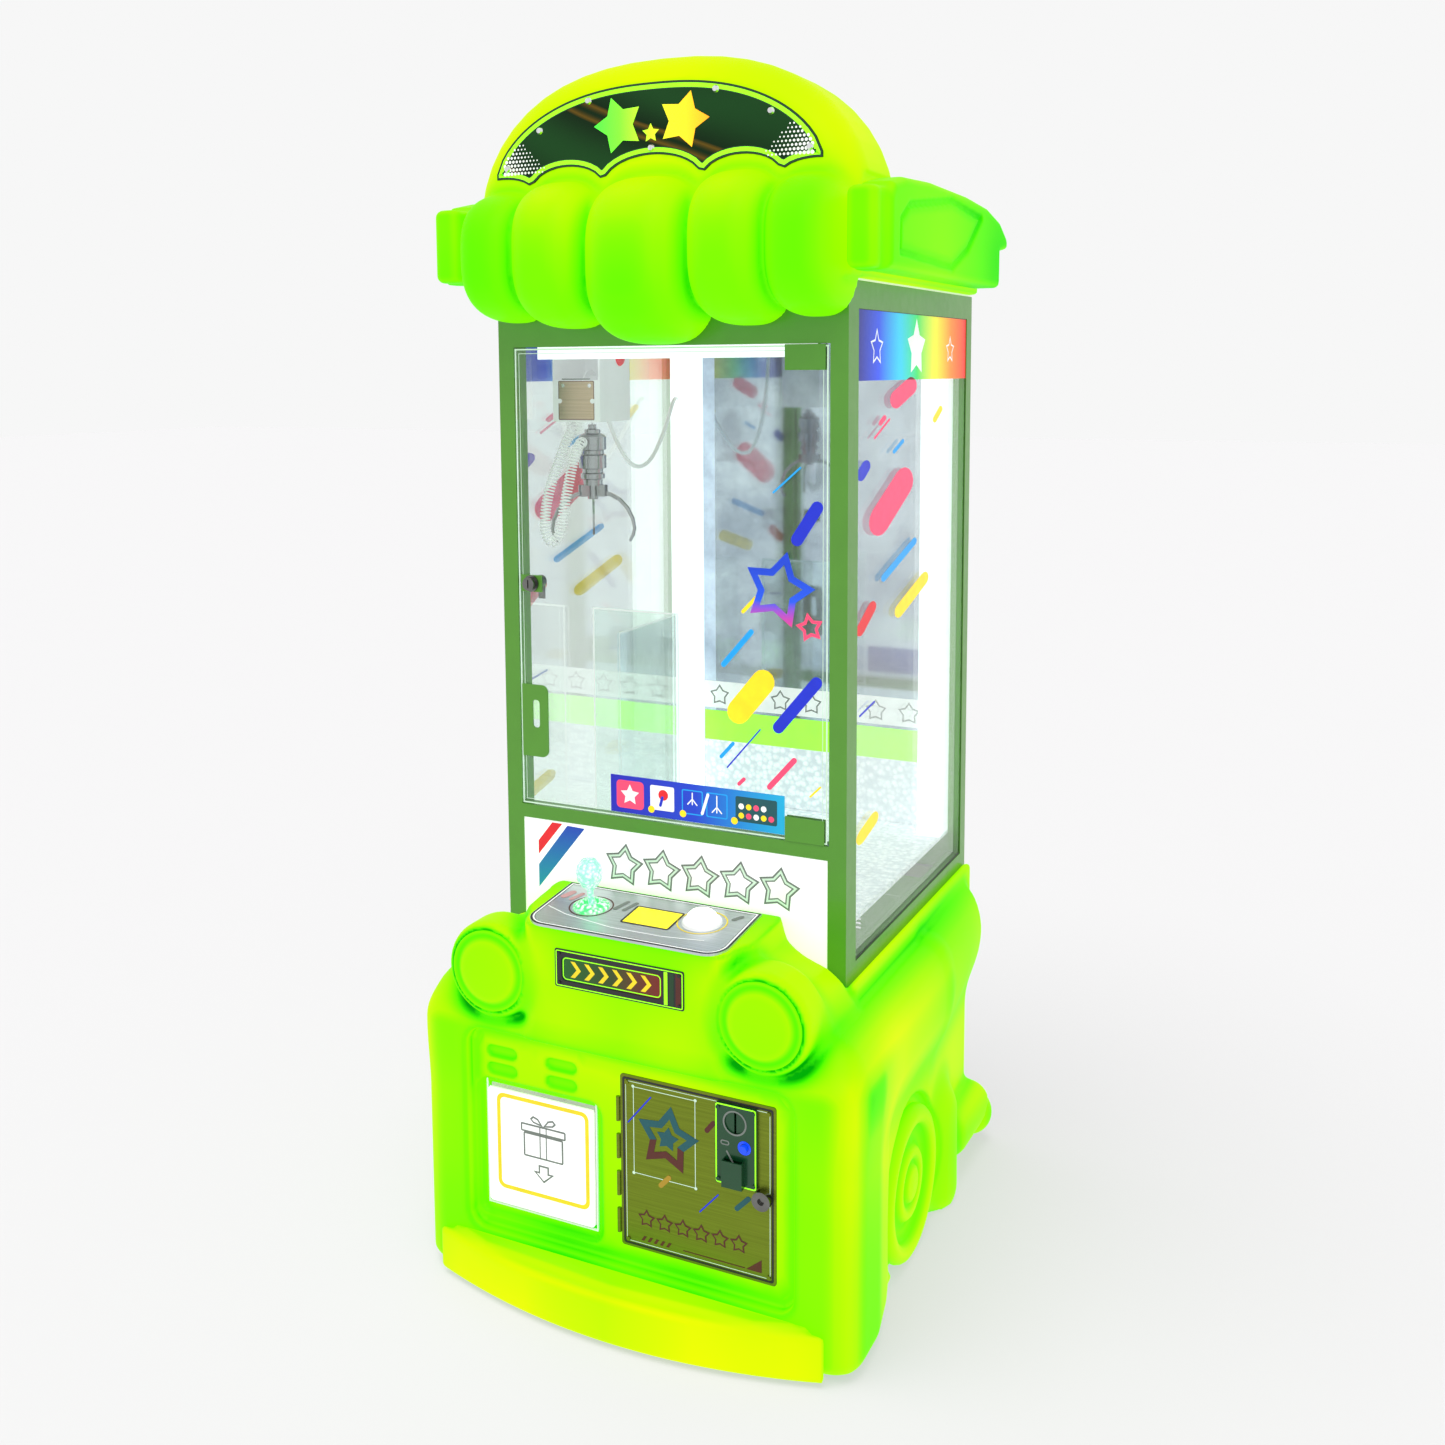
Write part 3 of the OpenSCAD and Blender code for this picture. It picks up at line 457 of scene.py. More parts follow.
@dataclass(frozen=True)
class Pebbled:
    """White board printed with a pebbled texture."""

    name: str = "pebbled_floor"
    # Glow is emission: painted light standing for the cabinet's lamps on the playfield.
    glow: float = 0.35

    def make(self) -> bpy.types.Material:
        """Makes the material.

        Returns:
            The material.
        """
        s = Shader(self.name)
        stones = s.add(
            "ShaderNodeTexVoronoi", {"feature": "F1"},
            {"Vector": s.place(), "Scale": 95.0, "Randomness": 1.0}, "Distance",
        )
        shade = s.ramp(stones, ((0.15, (0.93, 0.95, 0.97)), (0.7, (0.6, 0.66, 0.7))))
        return s.done(s.surface(
            Base_Color=shade, Roughness=0.6, Normal=s.bump(1 - stones, 0.5, 0.002),
            Emission_Color=shade, Emission_Strength=self.glow,
        ))


@dataclass(frozen=True)
class Ink:
    """Printed colour, in one shade or fading through several along an axis."""

    name: str
    colours: tuple[Colour, ...]
    axis: str = "X"
    start: float = 0.0
    end: float = 1.0
    # Glow is emission: painted light that keeps the print bright, standing partly for the backlight of lit
    # panels behind some prints.
    glow: float = 0.12
    rough: float = 0.35

    def make(self) -> bpy.types.Material:
        """Makes the material.

        Returns:
            The material.
        """
        s = Shader(self.name)
        if len(self.colours) == 1:
            dark = tuple(c * 0.88 for c in self.colours[0])
            shade = s.ramp(s.grain(40.0, 3.0), ((0.3, dark), (0.7, self.colours[0])))
        else:
            span = self.end - self.start
            share = (s.axis(self.axis) - self.start) * (1 / span)
            count = len(self.colours) - 1
            shade = s.ramp(share, [(i / count, c) for i, c in enumerate(self.colours)])
        gloss = s.grain(120.0, 2.0) * 0.1 + self.rough
        return s.done(s.surface(
            Base_Color=shade, Roughness=gloss, Emission_Color=shade, Emission_Strength=self.glow,
        ))


@dataclass(frozen=True)
class DarkAcrylic:
    """Back-printed near-black panel with faint brown curves in it."""

    name: str = "header_acrylic"
    ground: Colour = (0.006, 0.04, 0.008)
    curve: Colour = (0.09, 0.05, 0.004)

    def make(self) -> bpy.types.Material:
        """Makes the material.

        Returns:
            The material.
        """
        s = Shader(self.name)
        waves = s.add(
            "ShaderNodeTexWave", {"bands_direction": "DIAGONAL"},
            {"Vector": s.place(), "Scale": 1.7, "Distortion": 9.0, "Detail": 1.0, "Detail Scale": 1.4},
            "Fac",
        )
        deep = tuple(c * 0.35 for c in self.ground)
        shade = s.ramp(waves, ((0.0, self.ground), (0.9, deep), (0.955, self.curve), (1.0, deep)))
        # Emission: painted light that lifts the dark print.
        return s.done(s.surface(
            Base_Color=shade, Roughness=0.4, Specular_IOR_Level=0.12, Normal=s.bump(waves, 0.02, 0.0004),
            Emission_Color=shade, Emission_Strength=0.5,
        ))


@dataclass(frozen=True)
class Crystal:
    """Clear tinted plastic with painted glints: cells that glow brighter and clearer at their seeds."""

    name: str
    tint: Colour
    glow: float = 0.5
    alpha: float = 0.55

    def make(self) -> bpy.types.Material:
        """Makes the material.

        Returns:
            The material.
        """
        s = Shader(self.name)
        # Painted glints: bright glowing spots in the plastic.
        glint_seeds = s.add(
            "ShaderNodeTexVoronoi", {"feature": "SMOOTH_F1"},
            {"Vector": s.place(), "Scale": 190.0}, "Distance",
        )
        shade = s.ramp(glint_seeds, ((0.1, (0.9, 1.0, 0.95)), (0.55, self.tint)))
        clear = s.ramp(glint_seeds, ((0.1, (0.95,) * 3), (0.6, (self.alpha,) * 3)))
        return s.done(s.surface(
            Base_Color=shade, Roughness=0.08, Alpha=clear, Emission_Color=shade,
            Emission_Strength=self.glow, Normal=s.bump(glint_seeds, 0.4, 0.001), Coat_Weight=0.6,
        ))


LIME = (0.3, 1.0, 0.0)
INK_NAVY = screen(14, 40, 190)
INK_CYAN = screen(10, 150, 225)
INK_YELLOW = screen(250, 215, 20)
INK_PINK = screen(240, 70, 110)
INK_RED = screen(225, 30, 40)


class Finishes:
    """Every finish of the machine, made when first asked for."""

    RECIPES: dict[str, Any] = {f.name: f for f in (
        GlowingPlastic(),
        Paint("green_frame", screen(84, 146, 44), rough=0.36, metal=0.15, mottle=0.05, coat=0.2),
        Paint("sub_frame_steel", screen(120, 124, 126), rough=0.5, metal=0.7),
        Paint("foot_rubber", (0.02, 0.02, 0.02), rough=0.8, mottle=0.3),
        ClearSheet("clear_glass"),
        ClearSheet("clear_acrylic", (0.94, 0.99, 0.97), 0.09),
        Mirror(),
        Lamp("white_light", (0.93, 0.97, 1.0), 0.85),
        Paint("white_board", (0.88, 0.9, 0.9), rough=0.4, mottle=0.03, glow=0.42, coat=0.3),
        Pebbled(),
        DarkAcrylic(),
        Metal("brushed_panel", screen(214, 218, 222), rough=0.34, along=(10.0, 700.0, 10.0)),
        Metal("dark_chrome", (0.2, 0.2, 0.19), rough=0.12, along=(60.0, 60.0, 60.0)),
        Metal("bright_steel", (0.86, 0.87, 0.88), rough=0.08),
        Metal("claw_steel", (0.42, 0.43, 0.44), rough=0.14, along=(40.0, 40.0, 8.0)),
        Metal("bridge_steel", (0.7, 0.72, 0.73), rough=0.2, along=(5.0, 300.0, 300.0)),
        Metal("trolley_plate", screen(205, 182, 150), rough=0.28, along=(6.0, 400.0, 400.0)),
        Ink("display_lit", ((0.95, 0.82, 0.0),), glow=0.55),
        Lamp("button_white", (1.0, 0.99, 0.95), 1.1),
        Crystal("joystick_clear", screen(120, 236, 186)),
        Crystal("joystick_green", screen(60, 245, 110), glow=0.6, alpha=0.9),
        Metal("coin_door_print", screen(128, 144, 52), rough=0.34, along=(6.0, 6.0, 420.0)),
        Paint("coin_mech", screen(20, 72, 42), rough=0.3, metal=0.35, coat=0.4),
        Paint("lever_blue", screen(20, 70, 235), rough=0.25, glow=0.5),
        Paint("black_plastic", (0.012, 0.012, 0.013), rough=0.42, mottle=0.25),
        Paint("white_plastic", (0.84, 0.85, 0.85), rough=0.38, mottle=0.04, glow=0.1),
        Ink("ink_black", ((0.008, 0.01, 0.009),), glow=0.0),
        Ink("ink_white", ((0.92, 0.93, 0.93),), glow=0.25),
        Ink("ink_silver", (screen(120, 128, 122),), glow=0.0),
        Ink("ink_navy", (INK_NAVY,), glow=0.35),
        Ink("ink_cyan", (INK_CYAN,), glow=0.35),
        Ink("ink_yellow", (INK_YELLOW,), glow=0.35),
        Ink("ink_pink", (INK_PINK,), glow=0.35),
        Ink("ink_red", (INK_RED,), glow=0.25),
        Ink("ink_pink_faint", (screen(206, 150, 152),), glow=0.1),
        Ink("ink_lime", (LIME,), glow=0.7),
        Ink("ink_brown", (screen(84, 30, 16),), glow=0.05),
        Ink("ink_tan", (screen(176, 140, 30),), glow=0.05),
        Ink("ink_teal", (screen(10, 84, 92),), glow=0.05),
        Ink("ink_dark_green", (screen(18, 62, 30),), glow=0.05),
        Ink("ink_gold", (screen(232, 208, 24),), glow=0.25),
        Ink("ink_pale_edge", (screen(196, 222, 200),), glow=0.3),
        Ink("rainbow", tuple(screen(*c) for c in (
            (8, 16, 120), (16, 70, 225), (0, 190, 235), (40, 210, 90), (235, 230, 30), (250, 130, 20),
            (225, 20, 30))), "Y", (44 + FRONT_Y) * MM, (627 + FRONT_Y) * MM, 0.35),
        Ink("card_blue", (screen(24, 26, 168), screen(20, 60, 190), screen(0, 160, 205)),
            "X", -0.106, 0.207, 0.3),
        Ink("star_fade", (screen(40, 225, 60), screen(110, 240, 40), screen(190, 235, 30),
                          screen(255, 196, 20), screen(255, 140, 10)), "X", -0.11, 0.11, 0.75),
        Ink("plate_fade", (screen(18, 92, 24), screen(44, 66, 18), screen(112, 22, 10)),
            "X", -0.1, 0.076, 0.15),
        Ink("stripe_fade", (screen(10, 160, 160), screen(24, 64, 170)), "Z", 0.57, 0.74, 0.25),
        Ink("badge_fade", (screen(236, 40, 90), screen(24, 80, 215), screen(10, 60, 190)),
            "Z", 1.1, 1.2, 0.35),
    )}

    def __init__(self) -> None:
        """Starts with nothing made."""
        self.made: dict[str, bpy.types.Material] = {}

    def __getitem__(self, name: str) -> bpy.types.Material:
        """The finished material of that name.

        Args:
            name: the piece's name.

        Returns:
            The material.
        """
        if name not in self.made:
            self.made[name] = self.RECIPES[name].make()
        return self.made[name]

    def dress(self, name: str, *nodes: str) -> None:
        """Gives CAD nodes a finish.

        Args:
            name: the finish.
            nodes: the CAD nodes.
        """
        for node in nodes:
            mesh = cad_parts[node].data
            mesh.materials.clear()
            mesh.materials.append(self[name])
            LOG.info("%s takes %s", node, name)


# ---- meshes ------------------------------------------------------------------


def mesh_object(
    name: str, points: np.ndarray, faces: Sequence[Sequence[int]] | np.ndarray, smooth: bool = True
) -> bpy.types.Object:
    """Makes a mesh object.

    Args:
        name: the piece's name.
        points: cabinet millimetres.
        faces: vertex numbers.
        smooth: whether it is shaded smooth.

    Returns:
        The object, linked to the scene.
    """
    mesh = bpy.data.meshes.new(name)
    mesh.from_pydata(row(points).tolist(), [], [list(map(int, f)) for f in faces])
    mesh.update()
    mesh.polygons.foreach_set("use_smooth", [smooth] * len(mesh.polygons))
    obj = bpy.data.objects.new(name, mesh)
    bpy.context.scene.collection.objects.link(obj)
    return obj


def add_piece(obj: bpy.types.Object, material: bpy.types.Material | None, body: str,
              replaces: Iterable[str] = ()) -> bpy.types.Object:
    """Dresses a piece, sets what it rides on, and reports it.

    Args:
        obj: the piece.
        material: its finish, unless it has one.
        body: the body that it rides on.
        replaces: the CAD nodes that it stands for.

    Returns:
        The piece.
    """
    if material is not None:
        obj.data.materials.append(material)
    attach(obj, body)
    if replaces:
        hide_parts(*replaces)
    LOG.info("%s on %s, %d faces", obj.name, body, len(obj.data.polygons))
    return obj


def turned(
    name: str, profile: Sequence[Point3], centre: Point3, axis: Point3, sides: int = 72,
    mirrored: bool = False,
) -> bpy.types.Object:
    """Turns a profile about an axis.

    Args:
        name: the piece's name.
        profile: radius, height along the axis, and glow of each ring, which carries painted light and shade.
        centre: where the axis starts.
        axis: its direction.
        sides: how many faces go round.
        mirrored: whether the same piece stands on the other side too.

    Returns:
        The object.
    """
    turn = Vector((0, 0, 1)).rotation_difference(Vector(axis)).to_matrix()
    points, faces, glows = [], [], []
    for side in (1, -1) if mirrored else (1,):
        first = len(points)
        for radius, height, glow in profile:
            for k in range(sides):
                a = math.tau * k / sides
                p = turn @ Vector((radius * math.cos(a), radius * math.sin(a), height))
                p = p + Vector(centre)
                points.append((side * p.x, p.y, p.z))
                glows.append(glow)
        for i in range(len(profile) - 1):
            for k in range(sides):
                a, b = first + i * sides + k, first + i * sides + (k + 1) % sides
                quad = (a, b, b + sides, a + sides)
                faces.append(quad if side > 0 else quad[::-1])
    obj = mesh_object(name, np.array(points), faces)
    store_glow_and_painted_shade(obj, np.array(glows))
    return obj


def store_glow_and_painted_shade(obj: bpy.types.Object, values: np.ndarray) -> None:
    """Stores each point's glow: the moulding's inner light, with painted shade and painted light in it."""
    layer = obj.data.attributes.get("glow") or obj.data.attributes.new("glow", "FLOAT", "POINT")
    layer.data.foreach_set("value", np.asarray(values, np.float32))


def outline_distance(points: Sequence[Point2], u: np.ndarray, v: np.ndarray) -> np.ndarray:
    """Distance to a closed outline, below zero inside it.

    Args:
        points: the outline's corners.
        u: first coordinates.
        v: second coordinates.

    Returns:
        The signed distances.
    """
    u, v = np.broadcast_arrays(u, v)
    best, inside = np.full(u.shape, 1e12), np.zeros(u.shape, bool)
    for (ax, ay), (bx, by) in zip(points, [*points[1:], points[0]]):
        ex, ey = bx - ax, by - ay
        t = np.clip(((u - ax) * ex + (v - ay) * ey) / (ex * ex + ey * ey + 1e-9), 0, 1)
        best = np.minimum(best, (u - ax - ex * t) ** 2 + (v - ay - ey * t) ** 2)
        if ay != by:
            inside ^= ((ay > v) != (by > v)) & (u < ex * (v - ay) / ey + ax)
    return np.where(inside, -1.0, 1.0) * np.sqrt(best)


def melt(a: np.ndarray, b: np.ndarray, reach: float) -> np.ndarray:
    """Joins two forms with a fillet of about that reach."""
    h = np.clip(0.5 + 0.5 * (b - a) / reach, 0, 1)
    return b * (1 - h) + a * h - reach * h * (1 - h)


def carve(a: np.ndarray, tool: np.ndarray, reach: float = 0.5) -> np.ndarray:
    """Cuts a tool out of a form, with its edge rounded over that reach."""
    return -melt(-a, tool, reach)


class Block:
    """A block of space on a regular grid, in which mouldings are drawn as distances."""

    def __init__(self, low: Point3, high: Point3, step: float) -> None:
        """Lays out the grid.

        Args:
            low: its lowest corner.
            high: its highest corner.
            step: the grid's pitch.
        """
        self.low, self.step = np.array(low, float), step
        axes = [np.arange(a, b + step, step) for a, b in zip(low, high)]
        self.x, self.y, self.z = (
            axes[0][:, None, None], axes[1][None, :, None], axes[2][None, None, :]
        )

    def folded(self) -> "Block":
        """The same block with both sides of the centre line alike.

        Returns:
            The block.
        """
        other = object.__new__(Block)
        other.low, other.step, other.x, other.y, other.z = (
            self.low, self.step, np.abs(self.x), self.y, self.z
        )
        return other

    def slab(self, low: Point3, high: Point3, soft: float = 0.0) -> np.ndarray:
        """A box with rounded edges.

        Args:
            low: its lowest corner.
            high: its highest corner.
            soft: the radius of its edges.

        Returns:
            The distances.
        """
        q = [
            np.abs(c - (a + b) / 2) - (b - a) / 2 + soft
            for c, a, b in zip((self.x, self.y, self.z), low, high)
        ]
        outside = np.sqrt(sum(np.maximum(c, 0) ** 2 for c in q))
        return outside + np.minimum(np.maximum(np.maximum(q[0], q[1]), q[2]), 0) - soft

    def rod(self, a: Point3, b: Point3, radius: float, stretch: Point3 = (1, 1, 1)) -> np.ndarray:
        """A round-ended rod, drawn out by stretch.

        Args:
            a: one end.
            b: the other end.
            radius: its radius.
            stretch: how far each axis is drawn out.

        Returns:
            The distances.
        """
        p = [c / s for c, s in zip((self.x, self.y, self.z), stretch)]
        start, d = [c / s for c, s in zip(a, stretch)], [
            (q - c) / s for q, c, s in zip(b, a, stretch)
        ]
        t = sum((p[i] - start[i]) * d[i] for i in range(3)) / (sum(c * c for c in d) + 1e-9)
        t = np.clip(t, 0, 1)
        return np.sqrt(sum((p[i] - start[i] - d[i] * t) ** 2 for i in range(3))) - radius

    def prism(
        self, outline: Sequence[Point2], plane: str, low: float, high: float,
        soft: float = 0.0, grow: float = 0.0,
    ) -> np.ndarray:
        """An outline drawn out across its plane, with rounded edges.

        Args:
            outline: the corners.
            plane: the two axes that the outline is drawn in.
            low: where it starts on the third axis.
            high: where it ends.
            soft: the radius of its edges.
            grow: how far the outline swells.

        Returns:
            The distances.
        """
        axes = {"x": self.x, "y": self.y, "z": self.z}
        across = axes[next(a for a in "xyz" if a not in plane)]
        flat = outline_distance(outline, axes[plane[0]], axes[plane[1]]) - grow + soft
        deep = np.abs(across - (low + high) / 2) - (high - low) / 2 + soft
        outside = np.sqrt(np.maximum(flat, 0) ** 2 + np.maximum(deep, 0) ** 2)
        return outside + np.minimum(np.maximum(flat, deep), 0) - soft

    def pillow(self, centre: Point3, half: Point3, square: float = 3.0, full: float = 2.6) -> np.ndarray:
        """A puffed form, flat at the back.

        Args:
            centre: the middle of its back.
            half: how far it reaches sideways, forwards and up.
            square: how square its outline is, 2 for an ellipse.
            full: how full its front is.

        Returns:
            Its distances, near the surface.
        """
        across = (np.abs(self.x - centre[0]) / half[0]) ** square
        across = (across + (np.abs(self.z - centre[2]) / half[2]) ** square) ** (full / square)
        forward = (np.maximum(0, centre[1] - self.y) / half[1]) ** full
        form = ((across + forward) ** (1 / full) - 1) * min(half)
        return np.maximum(form, self.y - centre[1] - 30)

    def skin(self, d: np.ndarray) -> tuple[np.ndarray, np.ndarray]:
        """Finds the surface of a form.

        Args:
            d: the distances on this grid.

        Returns:
            Its points in millimetres, and its four-sided faces.
        """
        shape = np.array(d.shape) - 1
        keys, spots, quads = [], [], []
        for axis in range(3):
            u, v = (axis + 1) % 3, (axis + 2) % 3
            near = np.take(d, range(d.shape[axis] - 1), axis)
            far = np.take(d, range(1, d.shape[axis]), axis)
            at = np.argwhere((near < 0) != (far < 0))
            a, b = near[tuple(at.T)], far[tuple(at.T)]
            spot = at.astype(float)
            spot[:, axis] += a / (a - b)
            corners, whole = [], np.ones(len(at), bool)
            for du, dv in ((0, 0), (-1, 0), (-1, -1), (0, -1)):
                cell = at.copy()
                cell[:, u] += du
                cell[:, v] += dv
                whole &= ((cell >= 0) & (cell < shape)).all(1)
                corners.append(cell)
            flat = [np.ravel_multi_index(c[whole].T, shape) for c in corners]
            quad = np.stack(flat, 1)
            quads.append(np.where((a[whole] < 0)[:, None], quad, quad[:, ::-1]))
            for f in flat:
                keys.append(f)
                spots.append(spot[whole])
        key, spot = np.concatenate(keys), np.concatenate(spots)
        cells, back = np.unique(key, return_inverse=True)
        count = np.bincount(back)
        points = np.stack([np.bincount(back, spot[:, i]) / count for i in range(3)], 1)
        return self.low + points * self.step, np.searchsorted(cells, np.concatenate(quads))

    def sample(self, d: np.ndarray, points: np.ndarray) -> np.ndarray:
        """Reads the distances at points between the grid's own.

        Args:
            d: the distances on the grid.
            points: where to read them.

        Returns:
            The distances.
        """
        p = np.clip((points - self.low) / self.step, 0, np.array(d.shape) - 1.001)
        i = p.astype(int)
        f = p - i
        total = np.zeros(len(p))
        for corner in np.ndindex(2, 2, 2):
            c = np.array(corner)
            weight = np.prod(np.where(c, f, 1 - f), axis=1)
            total += weight * d[tuple((i + c).T)]
        return total


@dataclass
class Moulding:
    """A rotationally moulded shell, lit from inside.

    Its light and shade spots are places with a reach and a strength: a positive strength paints light on the
    wall and a negative one paints shade. Its creases take painted shade.
    """

    light_and_shade_spots: tuple[tuple[float, float, float, float, float], ...] = ()
    base_glow: float = 0.56
    crease_shade: float = 0.62

    def cast(
        self, name: str, block: Block, d: np.ndarray, keep: float, mirrored: bool = False
    ) -> bpy.types.Object:
        """Turns a form into a lit mesh.

        Args:
            name: the piece's name.
            block: the grid.
            d: its distances.
            keep: the share of the triangles that stay.
            mirrored: whether the mesh is flipped to the other side.

        Returns:
            The object, with its glow stored, painted crease shade and painted light and shade spots included.
        """
        points, faces = block.skin(d)
        obj = mesh_object(name, points, faces)
        if keep < 1:
            thin = obj.modifiers.new("thin", "DECIMATE")
            thin.ratio = keep
            bpy.context.view_layer.update()
            graph = bpy.context.evaluated_depsgraph_get()
            fine, obj.data = obj.data, bpy.data.meshes.new_from_object(obj.evaluated_get(graph))
            obj.modifiers.clear()
            bpy.data.meshes.remove(fine)
            obj.data.polygons.foreach_set("use_smooth", [True] * len(obj.data.polygons))
        n = len(obj.data.vertices)
        place, normal = np.zeros(n * 3, np.float32), np.zeros(n * 3, np.float32)
        obj.data.vertices.foreach_get("co", place)
        obj.data.vertex_normals.foreach_get("vector", normal)
        place = place.reshape(-1, 3) / MM - (0.0, FRONT_Y, 0.0)
        normal = normal.reshape(-1, 3)
        glow = np.full(n, self.base_glow)
        # Painted shade: the glow drops where the form closes in round a point, as in creases and recesses.
        for reach, share in ((8.0, 0.45), (22.0, 0.35), (55.0, 0.2)):
            open_air = np.clip(block.sample(d, place + normal * reach) / reach, 0, 1)
            glow -= self.crease_shade * share * (1 - open_air)
        fold = place.copy()
        fold[:, 0] = np.abs(fold[:, 0])
        # Painted light and shade: each spot raises the glow round it when its strength is positive and lowers
        # it when negative.
        for x, y, z, reach, strength in self.light_and_shade_spots:
            gap = np.sum((fold - (x, y, z)) ** 2, axis=1)
            glow += strength * np.exp(-gap / (2 * reach**2))
        store_glow_and_painted_shade(obj, glow)
        if mirrored:
            obj.data.transform(Matrix.Scale(-1, 4, (1, 0, 0)))
            obj.data.flip_normals()
            obj.name = name
        return obj


# ---- flat prints -------------------------------------------------------------


class Plane(Enum):
    """The flat faces that carry prints."""

    FRONT = "front"
    RIGHT = "right"
    LEFT = "left"
    DECK = "deck"


@dataclass
class Print:
    """Flat shapes on one plane, gathered into one mesh."""

    name: str
    plane: Plane
    level: float
    finishes: Finishes
    points: list[Point3] = field(default_factory=list)
    faces: list[tuple[list[int], str]] = field(default_factory=list)

    DECK_TILT = math.radians(5)
    DECK_BACK = (-15.0, 651.0)

    def spot(self, u: float, v: float, lift: float) -> Point3:
        """Where a point of the print is in the cabinet.

        Args:
            u: across the plane: x, or y on a side.
            v: up the plane: z, or y on the deck.
            lift: how far it stands off the plane.

        Returns:
            The point in cabinet millimetres.
        """
        out = self.level + lift
        if self.plane is Plane.FRONT:
            return (u, self.level - lift, v)
        if self.plane is Plane.RIGHT:
            return (out, u, v)
        if self.plane is Plane.LEFT:
            return (-out, u, v)
        c, s = math.cos(self.DECK_TILT), math.sin(self.DECK_TILT)
        return (u, self.DECK_BACK[0] + v * c - out * s, self.DECK_BACK[1] + v * s + out * c)

    def shape(self, outline: Sequence[Point2], ink: str, lift: float = 0.0) -> "Print":
        """Adds a filled outline.

        Args:
            outline: its outline.
            ink: the finish's name.
            lift: how far it stands off the plane.

        Returns:
            The print itself.
        """
        first = len(self.points)
        self.points += [self.spot(u, v, lift) for u, v in outline]
        self.faces.append((list(range(first, len(self.points))), ink))
        return self

    def band(
        self, outer: Sequence[Point2], inner: Sequence[Point2], ink: str, lift: float = 0.0
    ) -> "Print":
        """Adds the band between two outlines that have as many points.

        Args:
            outer: the outer outline.
            inner: the inner outline.
            ink: the finish's name.
            lift: how far it stands off the plane.

        Returns:
            The print itself.
        """
        first, n = len(self.points), len(outer)
        self.points += [self.spot(u, v, lift) for u, v in [*outer, *inner]]
        for k in range(n):
            j = (k + 1) % n
            self.faces.append(([first + k, first + j, first + n + j, first + n + k], ink))
        return self

    def bar(self, a: Point2, b: Point2, width: float, ink: str, lift: float = 0.0) -> "Print":
        """Adds a bar with round ends."""
        return self.shape(bar(a, b, width), ink, lift)

    def build(self, body: str, slot: str = "") -> bpy.types.Object:
        """Makes the mesh and sets it on its body.

        Args:
            body: the body it rides on.
            slot: a material slot's name; not used.

        Returns:
            The object.
        """
        names = list(dict.fromkeys(ink for _, ink in self.faces))
        obj = mesh_object(self.name, np.array(self.points), [f for f, _ in self.faces], False)
        for name in names:
            obj.data.materials.append(self.finishes[name])
        obj.data.polygons.foreach_set("material_index", [names.index(i) for _, i in self.faces])
        return add_piece(obj, None, body)


def bar(a: Point2, b: Point2, width: float, sides: int = 7) -> list[Point2]:
    """The outline of a bar with round ends.

    Args:
        a: one end.
        b: the other end.
        width: its width.
        sides: faces round each end.

    Returns:
        The outline.
    """
    turn, r = math.atan2(b[1] - a[1], b[0] - a[0]), width / 2
    outline = []
    for end, start in ((b, turn - math.pi / 2), (a, turn + math.pi / 2)):
        length = max(1e-6, math.hypot(b[0] - a[0], b[1] - a[1]))
        pull = min(r, length / 2) * (-1 if end is b else 1)
        cx, cy = end[0] + pull * math.cos(turn), end[1] + pull * math.sin(turn)
        for k in range(sides + 1):
            t = start + math.pi * k / sides
            outline.append((cx + r * math.cos(t), cy + r * math.sin(t)))
    return outline


def rounded(x0: float, x1: float, y0: float, y1: float, r: float, sides: int = 5) -> list[Point2]:
    """The outline of a rectangle with round corners.

    Args:
        x0: its left side.
        x1: its right side.
        y0: its lower side.
        y1: its upper side.
        r: its radius.
        sides: how many steps make a round.

    Returns:
        The points of the outline.
    """
    outline = []
    for k, (x, y) in enumerate(((x1 - r, y1 - r), (x0 + r, y1 - r), (x0 + r, y0 + r), (x1 - r, y0 + r))):
        for i in range(sides + 1):
            t = math.pi / 2 * (k + i / sides)
            outline.append((x + r * math.cos(t), y + r * math.sin(t)))
    return outline


def star(x: float, y: float, r: float, waist: float = 0.5, turn: float = 0.0) -> list[Point2]:
    """The outline of a five-pointed star.

    Args:
        x: its middle, across.
        y: its middle, up.
        r: its radius.
        waist: the inner radius as a share of the outer.
        turn: how far it is turned, in radians.

    Returns:
        The points of the outline.
    """
    return [
        (x + r * q * math.sin(t), y + r * q * math.cos(t))
        for k in range(10)
        for t, q in (((turn + math.pi * k / 5), waist if k % 2 else 1.0),)
    ]


def disc(x: float, y: float, r: float, sides: int = 20) -> list[Point2]:
    """The outline of a round dot.

    Args:
        x: its middle, across.
        y: its middle, up.
        r: its radius.
        sides: how many steps make a round.

    Returns:
        The points of the outline.
    """
    return [
        (x + r * math.cos(math.tau * k / sides), y + r * math.sin(math.tau * k / sides))
        for k in range(sides)
    ]


def inset(outline: Sequence[Point2], depth: float) -> list[Point2]:
    """An outline moved inwards, corner by corner.

    Args:
        outline: the corners, in either turn.
        depth: how far in.

    Returns:
        As many corners.
    """
    n = len(outline)
    area = sum(
        outline[k][0] * outline[(k + 1) % n][1] - outline[(k + 1) % n][0] * outline[k][1]
        for k in range(n)
    )
    side, moved = (1 if area > 0 else -1), []
    for k in range(n):
        (ax, ay), (bx, by), (cx, cy) = outline[k - 1], outline[k], outline[(k + 1) % n]
        d1, d2 = Vector((bx - ax, by - ay)).normalized(), Vector((cx - bx, cy - by)).normalized()
        n1, n2 = Vector((-d1.y, d1.x)) * side, Vector((-d2.y, d2.x)) * side
        middle = n1 + n2
        middle = middle.normalized() if middle.length > 1e-6 else n1
        reach = depth / max(0.45, middle.dot(n1))
        moved.append((bx + middle.x * reach, by + middle.y * reach))
    return moved


# ---- stage -------------------------------------------------------------------


